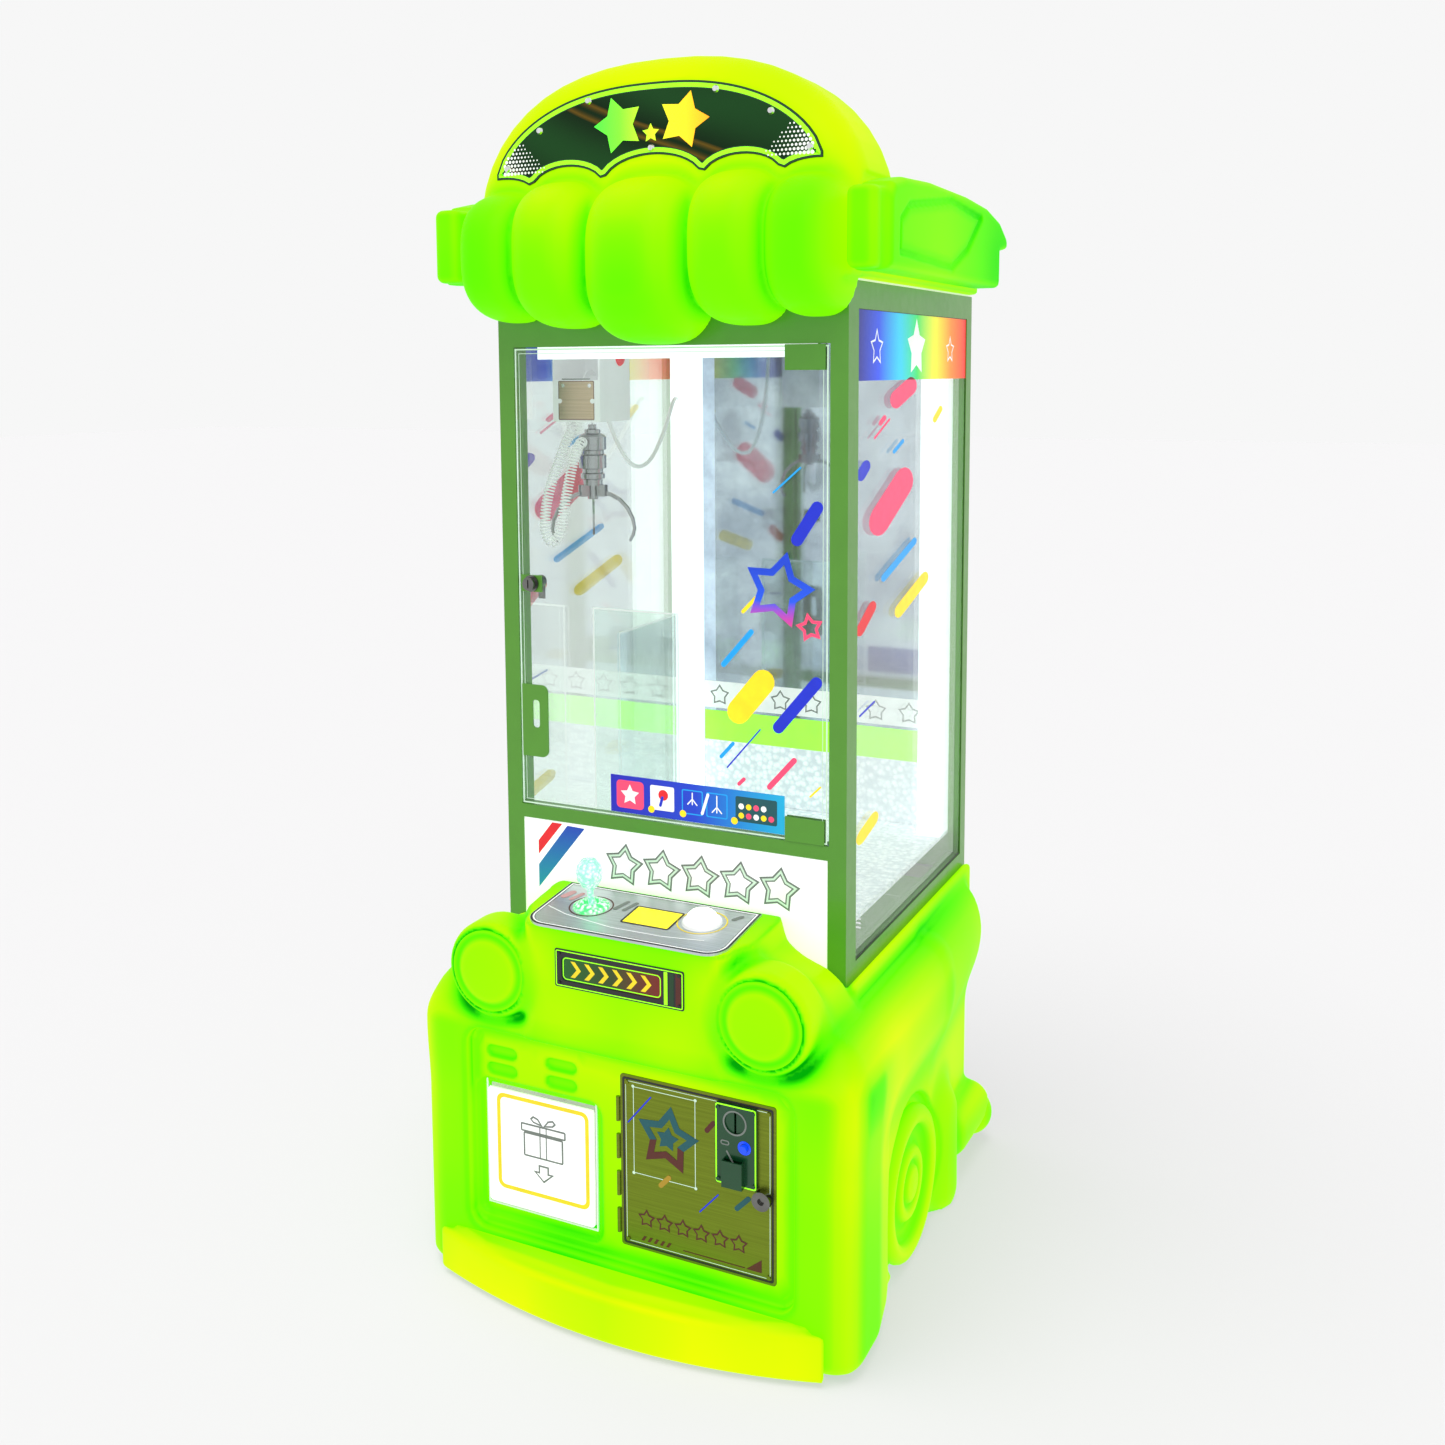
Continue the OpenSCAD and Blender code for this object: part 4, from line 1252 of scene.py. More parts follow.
@dataclass
class Studio:
    """Camera, pale floor and soft light."""

    place: Point3 = (1.0895, -2.3090, 1.5059)
    azimuth: float = 25.914
    elevation: float = 6.316
    roll: float = -0.344
    lens: float = 36.98
    shift: Point2 = (0.0115, -0.1298)
    sun: float = 0.9
    sky: float = 0.93
    shadow_sun: float = 4.6

    def camera(self) -> None:
        """Makes the camera."""
        data = bpy.data.cameras.new("camera")
        data.sensor_width, data.lens = 36.0, self.lens
        data.shift_x, data.shift_y = self.shift
        data.clip_start, data.clip_end = 0.05, 100.0
        a, e, r = (math.radians(v) for v in (self.azimuth, self.elevation, self.roll))
        back = Vector((math.sin(a) * math.cos(e), -math.cos(a) * math.cos(e), math.sin(e)))
        right = Vector((math.cos(a), math.sin(a), 0))
        up = back.cross(right)
        right, up = (
            right * math.cos(r) + up * math.sin(r), up * math.cos(r) - right * math.sin(r)
        )
        cam = bpy.data.objects.new("camera", data)
        cam.matrix_world = Matrix.Translation(self.place) @ Matrix((right, up, back)).transposed().to_4x4()
        bpy.context.scene.collection.objects.link(cam)
        bpy.context.scene.camera = cam

    def light(self) -> None:
        """Makes the sky, a broad sun and the floor."""
        scene = bpy.context.scene
        scene.view_settings.view_transform = "Standard"
        scene.view_settings.look = "None"
        world = bpy.data.worlds.new("studio")
        world.use_nodes = True
        ground = world.node_tree.nodes["Background"]
        ground.inputs["Color"].default_value = (1.0, 1.0, 1.0, 1.0)
        ground.inputs["Strength"].default_value = self.sky
        scene.world = world
        lamp = bpy.data.lights.new("key", "SUN")
        lamp.energy, lamp.angle = self.sun, math.radians(28)
        key = bpy.data.objects.new("key", lamp)
        key.rotation_euler = (math.radians(42), math.radians(8), math.radians(24))
        scene.collection.objects.link(key)
        floor = mesh_object("floor", np.array(
            [(-30000, -30000, 0), (30000, -30000, 0), (30000, 30000, 0), (-30000, 30000, 0)], float
        ), [(0, 1, 2, 3)], False)
        floor.data.materials.append(PaleFloor().make())
        lamp = bpy.data.lights.new("ground_sun", "SUN")
        lamp.energy, lamp.angle = self.shadow_sun, math.radians(50)
        sun = bpy.data.objects.new("ground_sun", lamp)
        sun.rotation_euler = (math.radians(14), math.radians(-10), 0.0)
        scene.collection.objects.link(sun)
        lit = bpy.data.collections.new("ground_only")
        lit.objects.link(floor)
        sun.light_linking.receiver_collection = lit


# ---- moulded base ------------------------------------------------------------


@dataclass
class MouldedBase(Moulding):
    """The car-shaped base: body shell, bumpers, wheel covers and headlights."""

    base_glow: float = 0.77
    crease_shade: float = 1.15
    ease_from: float = 372.0
    form_reach: float = 401.7
    flank_limit: float = 392.6
    front: float = -171.0
    recess: float = -147.0
    deck_back: float = 651.0
    pod_x: float = 240.0
    pod_z: float = 543.0
    wheel_y: float = 198.0
    wheel_z: float = 133.0
    # Painted light and shade spots: positive ones paint yellow light along the flank ridge, round the
    # headlights and on the front; negative ones paint shade at the bottom of the prize recess, low on the
    # rear flank, at the rear corner and along the front's foot.
    light_and_shade_spots: tuple[tuple[float, float, float, float, float], ...] = (
        (385, -70, 430, 80, 0.26), (385, 70, 440, 80, 0.28), (385, 230, 450, 80, 0.2),
        (380, -20, 300, 90, 0.16), (375, 420, 260, 90, 0.12), (165, -165, 590, 36, 0.24),
        (120, -175, 480, 60, 0.2), (0, -175, 480, 90, 0.14), (120, -147, 112, 70, -0.14),
        (385, 420, 120, 70, -0.12), (370, 560, 440, 90, -0.06), (0, -160, 30, 160, -0.05),
    )

    PLAN = ((-334, -110), (334, -110), (334, -60), (300, 60), (292, 200), (292, 300), (284, 420),
            (272, 590), (-272, 590), (-284, 420), (-292, 300), (-292, 200), (-300, 60), (-334, -60))
    HOOD = ((-2, 690), (182, 690), (196, 640), (212, 611), (244, 592), (282, 577), (306, 556),
            (322, 530), (324, 400), (-2, 400))

    def form(self, block: Block) -> np.ndarray:
        """Draws the body shell.

        Args:
            block: the grid.

        Returns:
            Its distances.
        """
        both = block.folded()
        d = both.prism(self.PLAN, "xy", 8, 462, 26, 60)
        flank = both.rod((336, -100, 425), (336, 330, 425), 53, (1, 1, 1.7))
        flank = melt(flank, both.rod((336, 330, 425), (308, 592, 438), 53, (1, 1, 1.75)), 10)
        d = melt(d, flank, 40)
        d = melt(d, both.rod((330, 388, 30), (326, 392, 170), 50), 40)
        d = melt(d, both.rod((335, 470, 88), (336, 606, 84), 43), 18)
        hood = both.prism(self.HOOD, "xz", -114, -1, 12)
        nose = both.prism(((-151, -138), (151, -138), (168, -24), (-168, -24)), "xy", 400, 700, 10, 33)
        d = melt(d, melt(hood, nose, 34), 22)
        d = melt(d, self.pod(both), 20)
        d = melt(d, both.slab((310, 1, 400), (325, 653, 549), 6), 9)
        d = self.openings(block, both, d)
        return d.astype(np.float32)

    def pod(self, both: Block) -> np.ndarray:
        """A headlight pod with its ring groove.

        Args:
            both: the folded grid.

        Returns:
            The distances.
        """
        across = np.sqrt((both.x - self.pod_x) ** 2 + (both.z - self.pod_z) ** 2)
        flat, deep = across - 79 + 20, np.abs(both.y + 138) - 40 + 20
        body = np.sqrt(np.maximum(flat, 0) ** 2 + np.maximum(deep, 0) ** 2)
        body = body + np.minimum(np.maximum(flat, deep), 0) - 20
        tail = both.rod((self.pod_x, -130, self.pod_z - 6), (262, -30, 508), 62)
        body = melt(body, tail, 26)
        seat = np.maximum(across - 67.5, both.y + 170.5)
        return carve(body, seat, 3)

    def openings(self, block: Block, both: Block, d: np.ndarray) -> np.ndarray:
        """Cuts the recess, doors, deck, arches and inside out of the shell.

        Args:
            block: the grid.
            both: the folded grid.
            d: the distances on the grid.

        Returns:
            The distances.
        """
        tilt = math.radians(5)
        deck = (block.z - self.deck_back + 3.6) * math.cos(tilt) - (block.y + 15) * math.sin(tilt)
        d = -melt(-d, -deck, 5)
        panel = ((-260, 122), (260, 122), (260, 408), (-260, 408))
        d = carve(d, block.prism(panel, "xz", -230, self.recess, 6, 30), 11)
        step = ((-262, 130), (-72, 130), (-72, 322), (-262, 322))
        d = carve(d, block.prism(step, "xz", -230, self.recess + 8, 4, 22), 7)
        for x in (-236, -122):
            for z in (364, 394):
                slot = ((x - 20, z - 1), (x + 20, z - 1), (x + 20, z + 1), (x - 20, z + 1))
                d = carve(d, block.prism(slot, "xz", -230, self.recess + 7, 3, 8), 4)
        arch = np.sqrt((both.y - self.wheel_y) ** 2 + (both.z - self.wheel_z) ** 2) - 146
        d = carve(d, np.maximum(arch, 337 - both.x), 9)
        for low, high in (
            ((-266, -260, 130), (-61, -100, 334.5)), ((-2, -260, 136), (249, -100, 395)),
            ((-114.5, -260, 540.5), (114.5, -169, 603.5)), ((-150, -137, 470), (150, -22, 720)),
            ((-310.6, -0.6, 500), (310.6, 900, 900)), ((-500, -2.5, 640), (500, 900, 900)),
            ((-300, 560, 20), (300, 900, 560)), ((-600, 653, -10), (600, 900, 900)),
        ):
            d = np.maximum(d, -block.slab(low, high))
        d = carve(d, block.slab((-300, -128, -60), (300, 800, 512), 20), 2)
        bumper = both.rod((-400, 620, 62), (336, 620, 62), 45.6)
        return np.maximum(d, -bumper)

    def shell(self, finishes: Finishes) -> None:
        """Builds the body shell.

        Args:
            finishes: the machine's finishes.
        """
        block = Block((-404, -186, 0), (404, 664, 664), 5.0)
        obj = self.cast("body_shell", block, self.form(block), 0.42)
        draw_in(obj, 0, self.ease_from, self.form_reach, self.flank_limit)
        add_piece(obj, finishes["lime_moulding"], "cabinet", ["base_shell"])

    def bumpers(self, finishes: Finishes) -> None:
        """Builds the bumpers.

        Args:
            finishes: the machine's finishes.
        """
        def nose(x: float) -> float:
            """How far forward the front bumper is at x."""
            return -235 + 57 * (x / 343) ** 2
        xs = [-343 + 686 * i / 40 for i in range(41)]
        outer = [(x, nose(x)) for x in xs]
        inner = [(x, min(-171.5, nose(x) + 36)) for x in reversed(xs)]
        block = Block((-356, -246, 0), (356, -164, 98), 3.5)
        band = block.prism(outer + inner, "xy", 6, 84, 11)
        ledge = block.prism([(-318, -171.5), (-240, -200), (0, -216), (240, -200), (318, -171.5)],
                            "xy", 50, 92, 8)
        d = np.maximum(melt(band, ledge, 10), block.y + 171.4)
        # Painted highlights along the front bumper's lower rim.
        lit = Moulding(((0, -240, 15, 140, 0.3), (200, -225, 10, 120, 0.26), (330, -180, 30, 60, 0.1)), 0.68)
        obj = lit.cast("front_bumper_moulding", block, d, 0.5)
        add_piece(obj, finishes["lime_moulding"], "cabinet", ["front_bumper"])
        block = Block((-392, 565, 6), (392, 670, 118), 4.0)
        both = block.folded()
        d = both.rod((0, 620, 62), (336, 620, 62), 44.8)
        d = np.maximum(d, -both.slab((-330, 0, -10), (330, 658.2, 200)))
        # Painted highlight at the rear bumper's corners.
        lit = Moulding(((375, 640, 40, 70, 0.2),), 0.56)
        obj = lit.cast("rear_bumper_moulding", block, d, 0.5)
        add_piece(obj, finishes["lime_moulding"], "cabinet", ["rear_bumper"])

    def trims(self, finishes: Finishes) -> None:
        """Builds the wheel covers and the headlight discs.

        Args:
            finishes: the machine's finishes.
        """
        # Each ring's third number is its glow: painted shade in the grooves and at the back, painted
        # highlights on the rims.
        cover = (
            (0.01, 23, 0.76), (24, 22.6, 0.76), (30, 20, 0.6), (33, 14, 0.44), (38, 14, 0.44),
            (42, 18, 0.6), (48, 20, 0.76), (56, 20, 0.76), (61, 16, 0.6), (64, 11, 0.46), (70, 8, 0.44),
            (80, 8, 0.52), (92, 9, 0.44), (96, 13, 0.42), (98, 19, 0.56), (102, 23, 0.72),
            (110, 25.4, 0.78), (118, 25, 0.72), (124, 22, 0.66), (128, 17, 0.6), (130, 10, 0.5),
            (129, 4, 0.36), (124, 0, 0.3), (0.01, 0, 0.3),
        )
        obj = turned("wheel_cover_pair", cover, (338, self.wheel_y, self.wheel_z), (1, 0, 0), 96, True)
        add_piece(obj, finishes["lime_moulding"], "cabinet", ["wheel_covers"])
        # Painted shade in the lens's ring groove and at its back, through each ring's glow.
        lens = (
            (0.01, 9.5, 0.66), (20, 9.2, 0.66), (40, 8.2, 0.66), (49, 6.4, 0.7), (53, 4.6, 0.56),
            (56, 2.6, 0.4), (59, 2.0, 0.34), (62, 2.8, 0.42), (65, 4.2, 0.54), (66.5, 3.2, 0.5),
            (66.6, -5, 0.3), (0.01, -5, 0.3),
        )
        obj = turned("headlight_pair", lens, (self.pod_x, -171, self.pod_z), (0, -1, 0), 96, True)
        add_piece(obj, finishes["lime_moulding"], "cabinet", ["headlights"])

    def build(self, finishes: Finishes) -> None:
        """Builds the whole base.

        Args:
            finishes: the machine's finishes.
        """
        self.shell(finishes)
        self.bumpers(finishes)
        self.trims(finishes)
        finishes.dress("sub_frame_steel", "base_frame", "cash_box", "power_supply")
        finishes.dress("foot_rubber", "levelling_feet")
        finishes.dress("white_plastic", "prize_chute")


# ---- canopy ------------------------------------------------------------------


@dataclass
class Canopy(Moulding):
    """The moulded canopy: five puffs, the dome, side ornaments and the header panel."""

    # Painted light and shade spots: brighter at the puffs' tops, the dome and the roof's sides, darker below
    # the middle and outer puffs.
    light_and_shade_spots: tuple[tuple[float, float, float, float, float], ...] = (
        (152, -120, 1785, 50, 0.26), (0, -125, 1785, 60, 0.18), (152, -140, 1680, 60, 0.06),
        (0, -145, 1585, 60, -0.1), (262, -120, 1640, 60, -0.05), (0, -20, 1985, 190, 0.24),
        (300, 0, 1860, 90, 0.14), (340, 200, 1780, 90, 0.1), (200, 250, 1780, 200, 0.1),
    )
    base_glow: float = 0.68
    crease_shade: float = 0.55
    ease_from: float = 1950.0
    form_top: float = 1990.1
    top_limit: float = 1988.8

    PUFFS = ((0, 97, 1547, 1804, -146), (153, 74, 1574, 1805, -141), (264, 64, 1585, 1794, -129))
    SIDE = ((-46, 1650), (560, 1650), (562, 1714), (618, 1722), (606, 1744), (560, 1768), (480, 1784),
            (360, 1791), (160, 1793), (30, 1787), (-22, 1776), (-44, 1752))
    NAIL = ((2, 1677), (4, 1723), (45, 1748), (258, 1774), (432, 1761), (350, 1703), (262, 1669))

    @staticmethod
    def header_outline(count: int = 56) -> list[Point2]:
        """The header panel's outline: a low arch over scallops.

        Args:
            count: how many steps make its width.

        Returns:
            The points of the outline.
        """
        def top(x: float) -> float:
            """The arch's height at x."""
            return 1816 + 128 * max(0.0, 1 - (abs(x) / 283) ** 2.4) ** 0.62

        def scallop(x: float, c: float, w: float, z: float, h: float) -> float:
            """The height of one scallop at x, or 0 outside it."""
            return z + h * math.sqrt(1 - ((x - c) / w) ** 2) if abs(x - c) < w else 0.0

        def low(x: float) -> float:
            """The lower edge's height at x.

            Args:
                x: its middle, across.

            Returns:
                The height.
            """
            return max(1792, scallop(x, 0, 87, 1792, 44), *(
                scallop(x, s * c, w, 1792, h) for s in (-1, 1) for c, w, h in ((151, 66, 35), (272, 57, 22))
            ))
        xs = [-282 + 564 * i / count for i in range(count + 1)]
        return [(x, top(x)) for x in xs] + [(x, min(low(x), top(x) - 2)) for x in reversed(xs)]

    def form(self, block: Block) -> np.ndarray:
        """Draws the canopy.

        Args:
            block: the grid.

        Returns:
            The distances.
        """
        both = block.folded()
        arch = [
            (270 * math.copysign(abs(math.cos(a)) ** 0.82, math.cos(a)), 1728 + 190 * math.sin(a) ** 0.86)
            for a in (math.pi * i / 24 for i in range(25))
        ]
        dome = both.prism([*arch, (-270, 1690), (270, 1690)], "xz", -36, 166, 58, 72)
        roof = both.slab((-330, -72, 1560), (330, 655, 1776), 38)
        d = np.maximum(melt(dome, roof, 20), 1643.2 - both.z)
        puffs = None
        for x, w, low, high, front in self.PUFFS:
            one = both.pillow((x, front + 140, (low + high) / 2), (w, 140, (high - low) / 2))
            puffs = one if puffs is None else melt(puffs, one, 4)
        d = melt(d, puffs, 7)
        d = np.maximum(d, -block.slab((-600, -0.6, 1000), (600, 1000, 1643.2)))
        seat = both.prism(self.header_outline(), "xz", -300, -32.9, 0, 1.5)
        d = carve(d, seat, 2)
        d = np.maximum(d, -both.slab((330.6, -90, 1600), (500, 656, 1796.5)))
        return d.astype(np.float32)

    def ornament(self) -> tuple[Block, np.ndarray]:
        """Draws the right side ornament.

        Returns:
            The grid and its distances.
        """
        block = Block((324, -96, 1640), (398, 626, 1804), 3.0)
        body = block.prism(self.SIDE, "yz", 331, 390, 13)
        corner = block.prism(((351, -64), (361, -64), (364, -24), (348, -24)), "xy", 1650, 1767, 12, 19)
        d = melt(body, corner, 7)
        groove = np.sqrt((block.x - 391) ** 2 + (block.y + 50) ** 2) - 11
        d = carve(d, groove, 8)
        ring = np.abs(outline_distance(self.NAIL, block.y, block.z)) - 4.6
        d = carve(d, np.maximum(ring, 384.6 - block.x), 3)
        inner = outline_distance(self.NAIL, block.y, block.z) + 6
        d = carve(d, np.maximum(inner, 388.2 - block.x), 2)
        return block, np.maximum(d, 331 - block.x).astype(np.float32)

    def prints(self, finishes: Finishes) -> None:
        """Prints the header panel: border lines, stars and dots that fade.

        Args:
            finishes: the machine's finishes.
        """
        art = Print("header_print", Plane.FRONT, -36.25, finishes)
        edge = self.header_outline()
        art.band(inset(edge, 0.4), inset(edge, 3.6), "ink_dark_green", 0.05)
        art.band(inset(edge, 3.6), inset(edge, 10.2), "ink_lime", 0.1)
        art.band(inset(edge, 10.2), inset(edge, 11.8), "ink_dark_green", 0.12)
        art.shape(star(-56, 1884, 44, 0.56, -0.3), "star_fade", 0.2)
        art.shape(star(56, 1884, 44, 0.56, 0.3), "star_fade", 0.2)
        art.shape(star(0, 1868, 15, 0.5), "star_fade", 0.3)
        for side in (-1, 1):
            for i in range(15):
                for j in range(8):
                    x, z = 266 - 6.4 * i - (3.2 if j % 2 else 0), 1822 + 6.2 * j
                    fade = 1 - i / 13 - j / 15
                    if fade > 0.08 and z < 1816 + 128 * max(0, 1 - (x / 283) ** 2.4) ** 0.62 - 14:
                        art.shape(disc(side * x, z, 1.0 + 2.2 * fade, 8), "ink_white", 0.2)
        art.build("cabinet", "header_acrylic")

    def build(self, finishes: Finishes) -> None:
        """Builds the canopy.

        Args:
            finishes: the machine's finishes.
        """
        block = Block((-352, -158, 1538), (352, 664, 2014), 5.0)
        obj = self.cast("canopy_moulding", block, self.form(block), 0.42)
        draw_in(obj, 2, self.ease_from, self.form_top, self.top_limit)
        add_piece(obj, finishes["lime_moulding"], "cabinet", ["canopy_shell"])
        block, d = self.ornament()
        # Painted light along the ornament's middle and front corner, painted shade towards its back end.
        lit = Moulding((
            (390, 200, 1740, 120, 0.14), (390, 560, 1690, 80, -0.14), (360, -70, 1740, 40, 0.06),
        ), 0.58)
        for name, node, mirrored in (
            ("right_ornament", "thumb_right", False), ("left_ornament", "thumb_left", True)
        ):
            obj = lit.cast(name, block, d, 0.5, mirrored)
            add_piece(obj, finishes["lime_moulding"], "cabinet", [node])
        finishes.dress("header_acrylic", "header_panel")
        finishes.dress("bright_steel", "header_screws")
        finishes.dress("white_plastic", "roof_plate")
        self.prints(finishes)


# ---- cabinet -----------------------------------------------------------------


@dataclass
class Cabinet:
    """The steel frame, the windows with their prints, and the lit inside."""

    window_x: float = 308.3
    window: tuple[float, float, float, float] = (44.0, 627.0, 574.0, 1598.0)
    band_z: tuple[float, float] = (1489.0, 1597.0)
    stretch: float = 2.06
    confetti: tuple[tuple[float, float, float, float, float, str], ...] = (
        (306, 1336, 112, 1250, 50, "ink_pink"), (330, 1486, 200, 1450, 30, "ink_pink"),
        (268, 1390, 212, 1371, 7, "ink_cyan"), (176, 1432, 143, 1419, 9, "ink_pink"),
        (196, 1427, 120, 1398, 4, "ink_pink"), (340, 1217, 160, 1168, 13, "ink_cyan"),
        (408, 1148, 230, 1100, 24, "ink_yellow"), (97, 1364, 48, 1338, 20, "ink_navy"),
        (151, 786, 50, 764, 24, "ink_yellow"), (132, 976, 58, 966, 4, "ink_navy"),
        (480, 1440, 430, 1414, 12, "ink_yellow"), (129, 1138, 48, 1096, 20, "ink_red"),
    )

    def windows(self, finishes: Finishes) -> None:
        """Prints the side windows: gaskets, rainbow bands, stars and confetti bars.

        Args:
            finishes: the machine's finishes.
        """
        y0, y1, z0, z1 = self.window
        for plane, name in ((Plane.RIGHT, "right_window_print"), (Plane.LEFT, "left_window_print")):
            art = Print(name, plane, self.window_x, finishes)
            edge = [(y0, z0), (y1, z0), (y1, z1), (y0, z1)]
            art.band(edge, inset(edge, 3.5), "ink_black", 0.1)
            low, high = self.band_z
            art.shape([(y0, low), (y1, low), (y1, high), (y0, high)], "rainbow", 0.2)
            for y, r in ((130, 31), (525, 26)):
                outline = star(y, 1540, r, 0.52)
                art.band(outline, inset(outline, 3.0), "ink_white", 0.4)
            big = star(330, 1541, 50, 0.55)
            art.shape(big, "ink_white", 0.4)
            for ya, za, yb, zb, width, ink in self.confetti:
                narrow = bar((ya / self.stretch, za), (yb / self.stretch, zb), width)
                art.shape([(u * self.stretch, v) for u, v in narrow], ink, 0.2)
            art.build("cabinet", "printed_panel")

    def guard_edges(self, finishes: Finishes) -> None:
        """Paints white highlights along the polished edges of the acrylic guard round the prize drop.

        Args:
            finishes: the machine's finishes.
        """
        for name, plane, level, span in (
            ("guard_edge_side", Plane.LEFT, 103.0, (28.0, 246.0)),
            ("guard_edge_back", Plane.FRONT, 241.8, (-278.0, -107.0)),
        ):
            art = Print(name, plane, level, finishes)
            low, high = span
            # Painted highlights: white strips where the polished edges catch the light.
            for a, b, c, d in ((low, high, 1071.5, 1075), (low, low + 3.5, 620, 1071.5),
                               (high - 3.5, high, 620, 1071.5)):
                art.shape([(a, c), (b, c), (b, d), (a, d)], "ink_white")
            art.build("cabinet", "clear_glass")

    def front(self, finishes: Finishes) -> None:
        """Prints the lit panel under the door: slanted stripes and silver stars.

        Args:
            finishes: the machine's finishes.
        """
        art = Print("lower_panel_print", Plane.FRONT, 1.7, finishes)
        x0 = -277.0
        art.shape([(x0 + 26, 684), (x0 + 74, 743), (x0 + 54, 743), (x0 + 26, 708)], "ink_red")
        art.shape([(x0 + 26, 626), (x0 + 118, 740), (x0 + 84, 741), (x0 + 26, 666)], "stripe_fade")
        for k in range(5):
            outline = star(-84 + 70 * k, 688, 38, 0.6, 0.12)
            art.shape(outline, "ink_silver", 0.2)
            art.shape(inset(outline, 3.0), "ink_pale_edge", 0.35)
            art.shape(inset(outline, 6.4), "ink_silver", 0.45)
            art.shape(inset(outline, 8.6), "ink_white", 0.6)
        art.build("cabinet", "printed_panel")

    def build(self, finishes: Finishes) -> None:
        """Dresses the cabinet.

        Args:
            finishes: the machine's finishes.
        """
        finishes.dress("green_frame", "front_frame", "side_frame_left", "side_frame_right", "rear_panel",
                       "rear_skirt")
        finishes.dress("clear_glass", "side_glass_left", "side_glass_right")
        finishes.dress("mirror_panel", "rear_mirror")
        finishes.dress("white_light", "light_posts", "led_bar")
        finishes.dress("white_board", "lower_panel")
        finishes.dress("pebbled_floor", "playfield")
        finishes.dress("clear_acrylic", "chute_guard")
        self.guard_edges(finishes)
        finishes.dress("black_plastic", "power_inlet")
        finishes.dress("green_frame", "rear_door")
        finishes.dress("bright_steel", "rear_lock_plug")
        self.windows(finishes)
        self.front(finishes)
        trim = Print("rear_kick_strip", Plane.FRONT, 629.0, finishes)
        trim.shape([(-238, 619), (238, 619), (238, 744), (-238, 744)], "pebbled_floor")
        trim.shape([(-238, 744), (238, 744), (238, 806), (-238, 806)], "ink_lime")
        trim.shape([(-238, 812), (238, 812), (238, 868), (-238, 868)], "ink_white")
        for k in range(7):
            outline = star(-204 + 68 * k, 839, 23, 0.6)
            trim.shape(outline, "ink_silver", 0.15)
            trim.shape(inset(outline, 3.0), "ink_white", 0.3)
        trim.build("cabinet", "printed_panel")


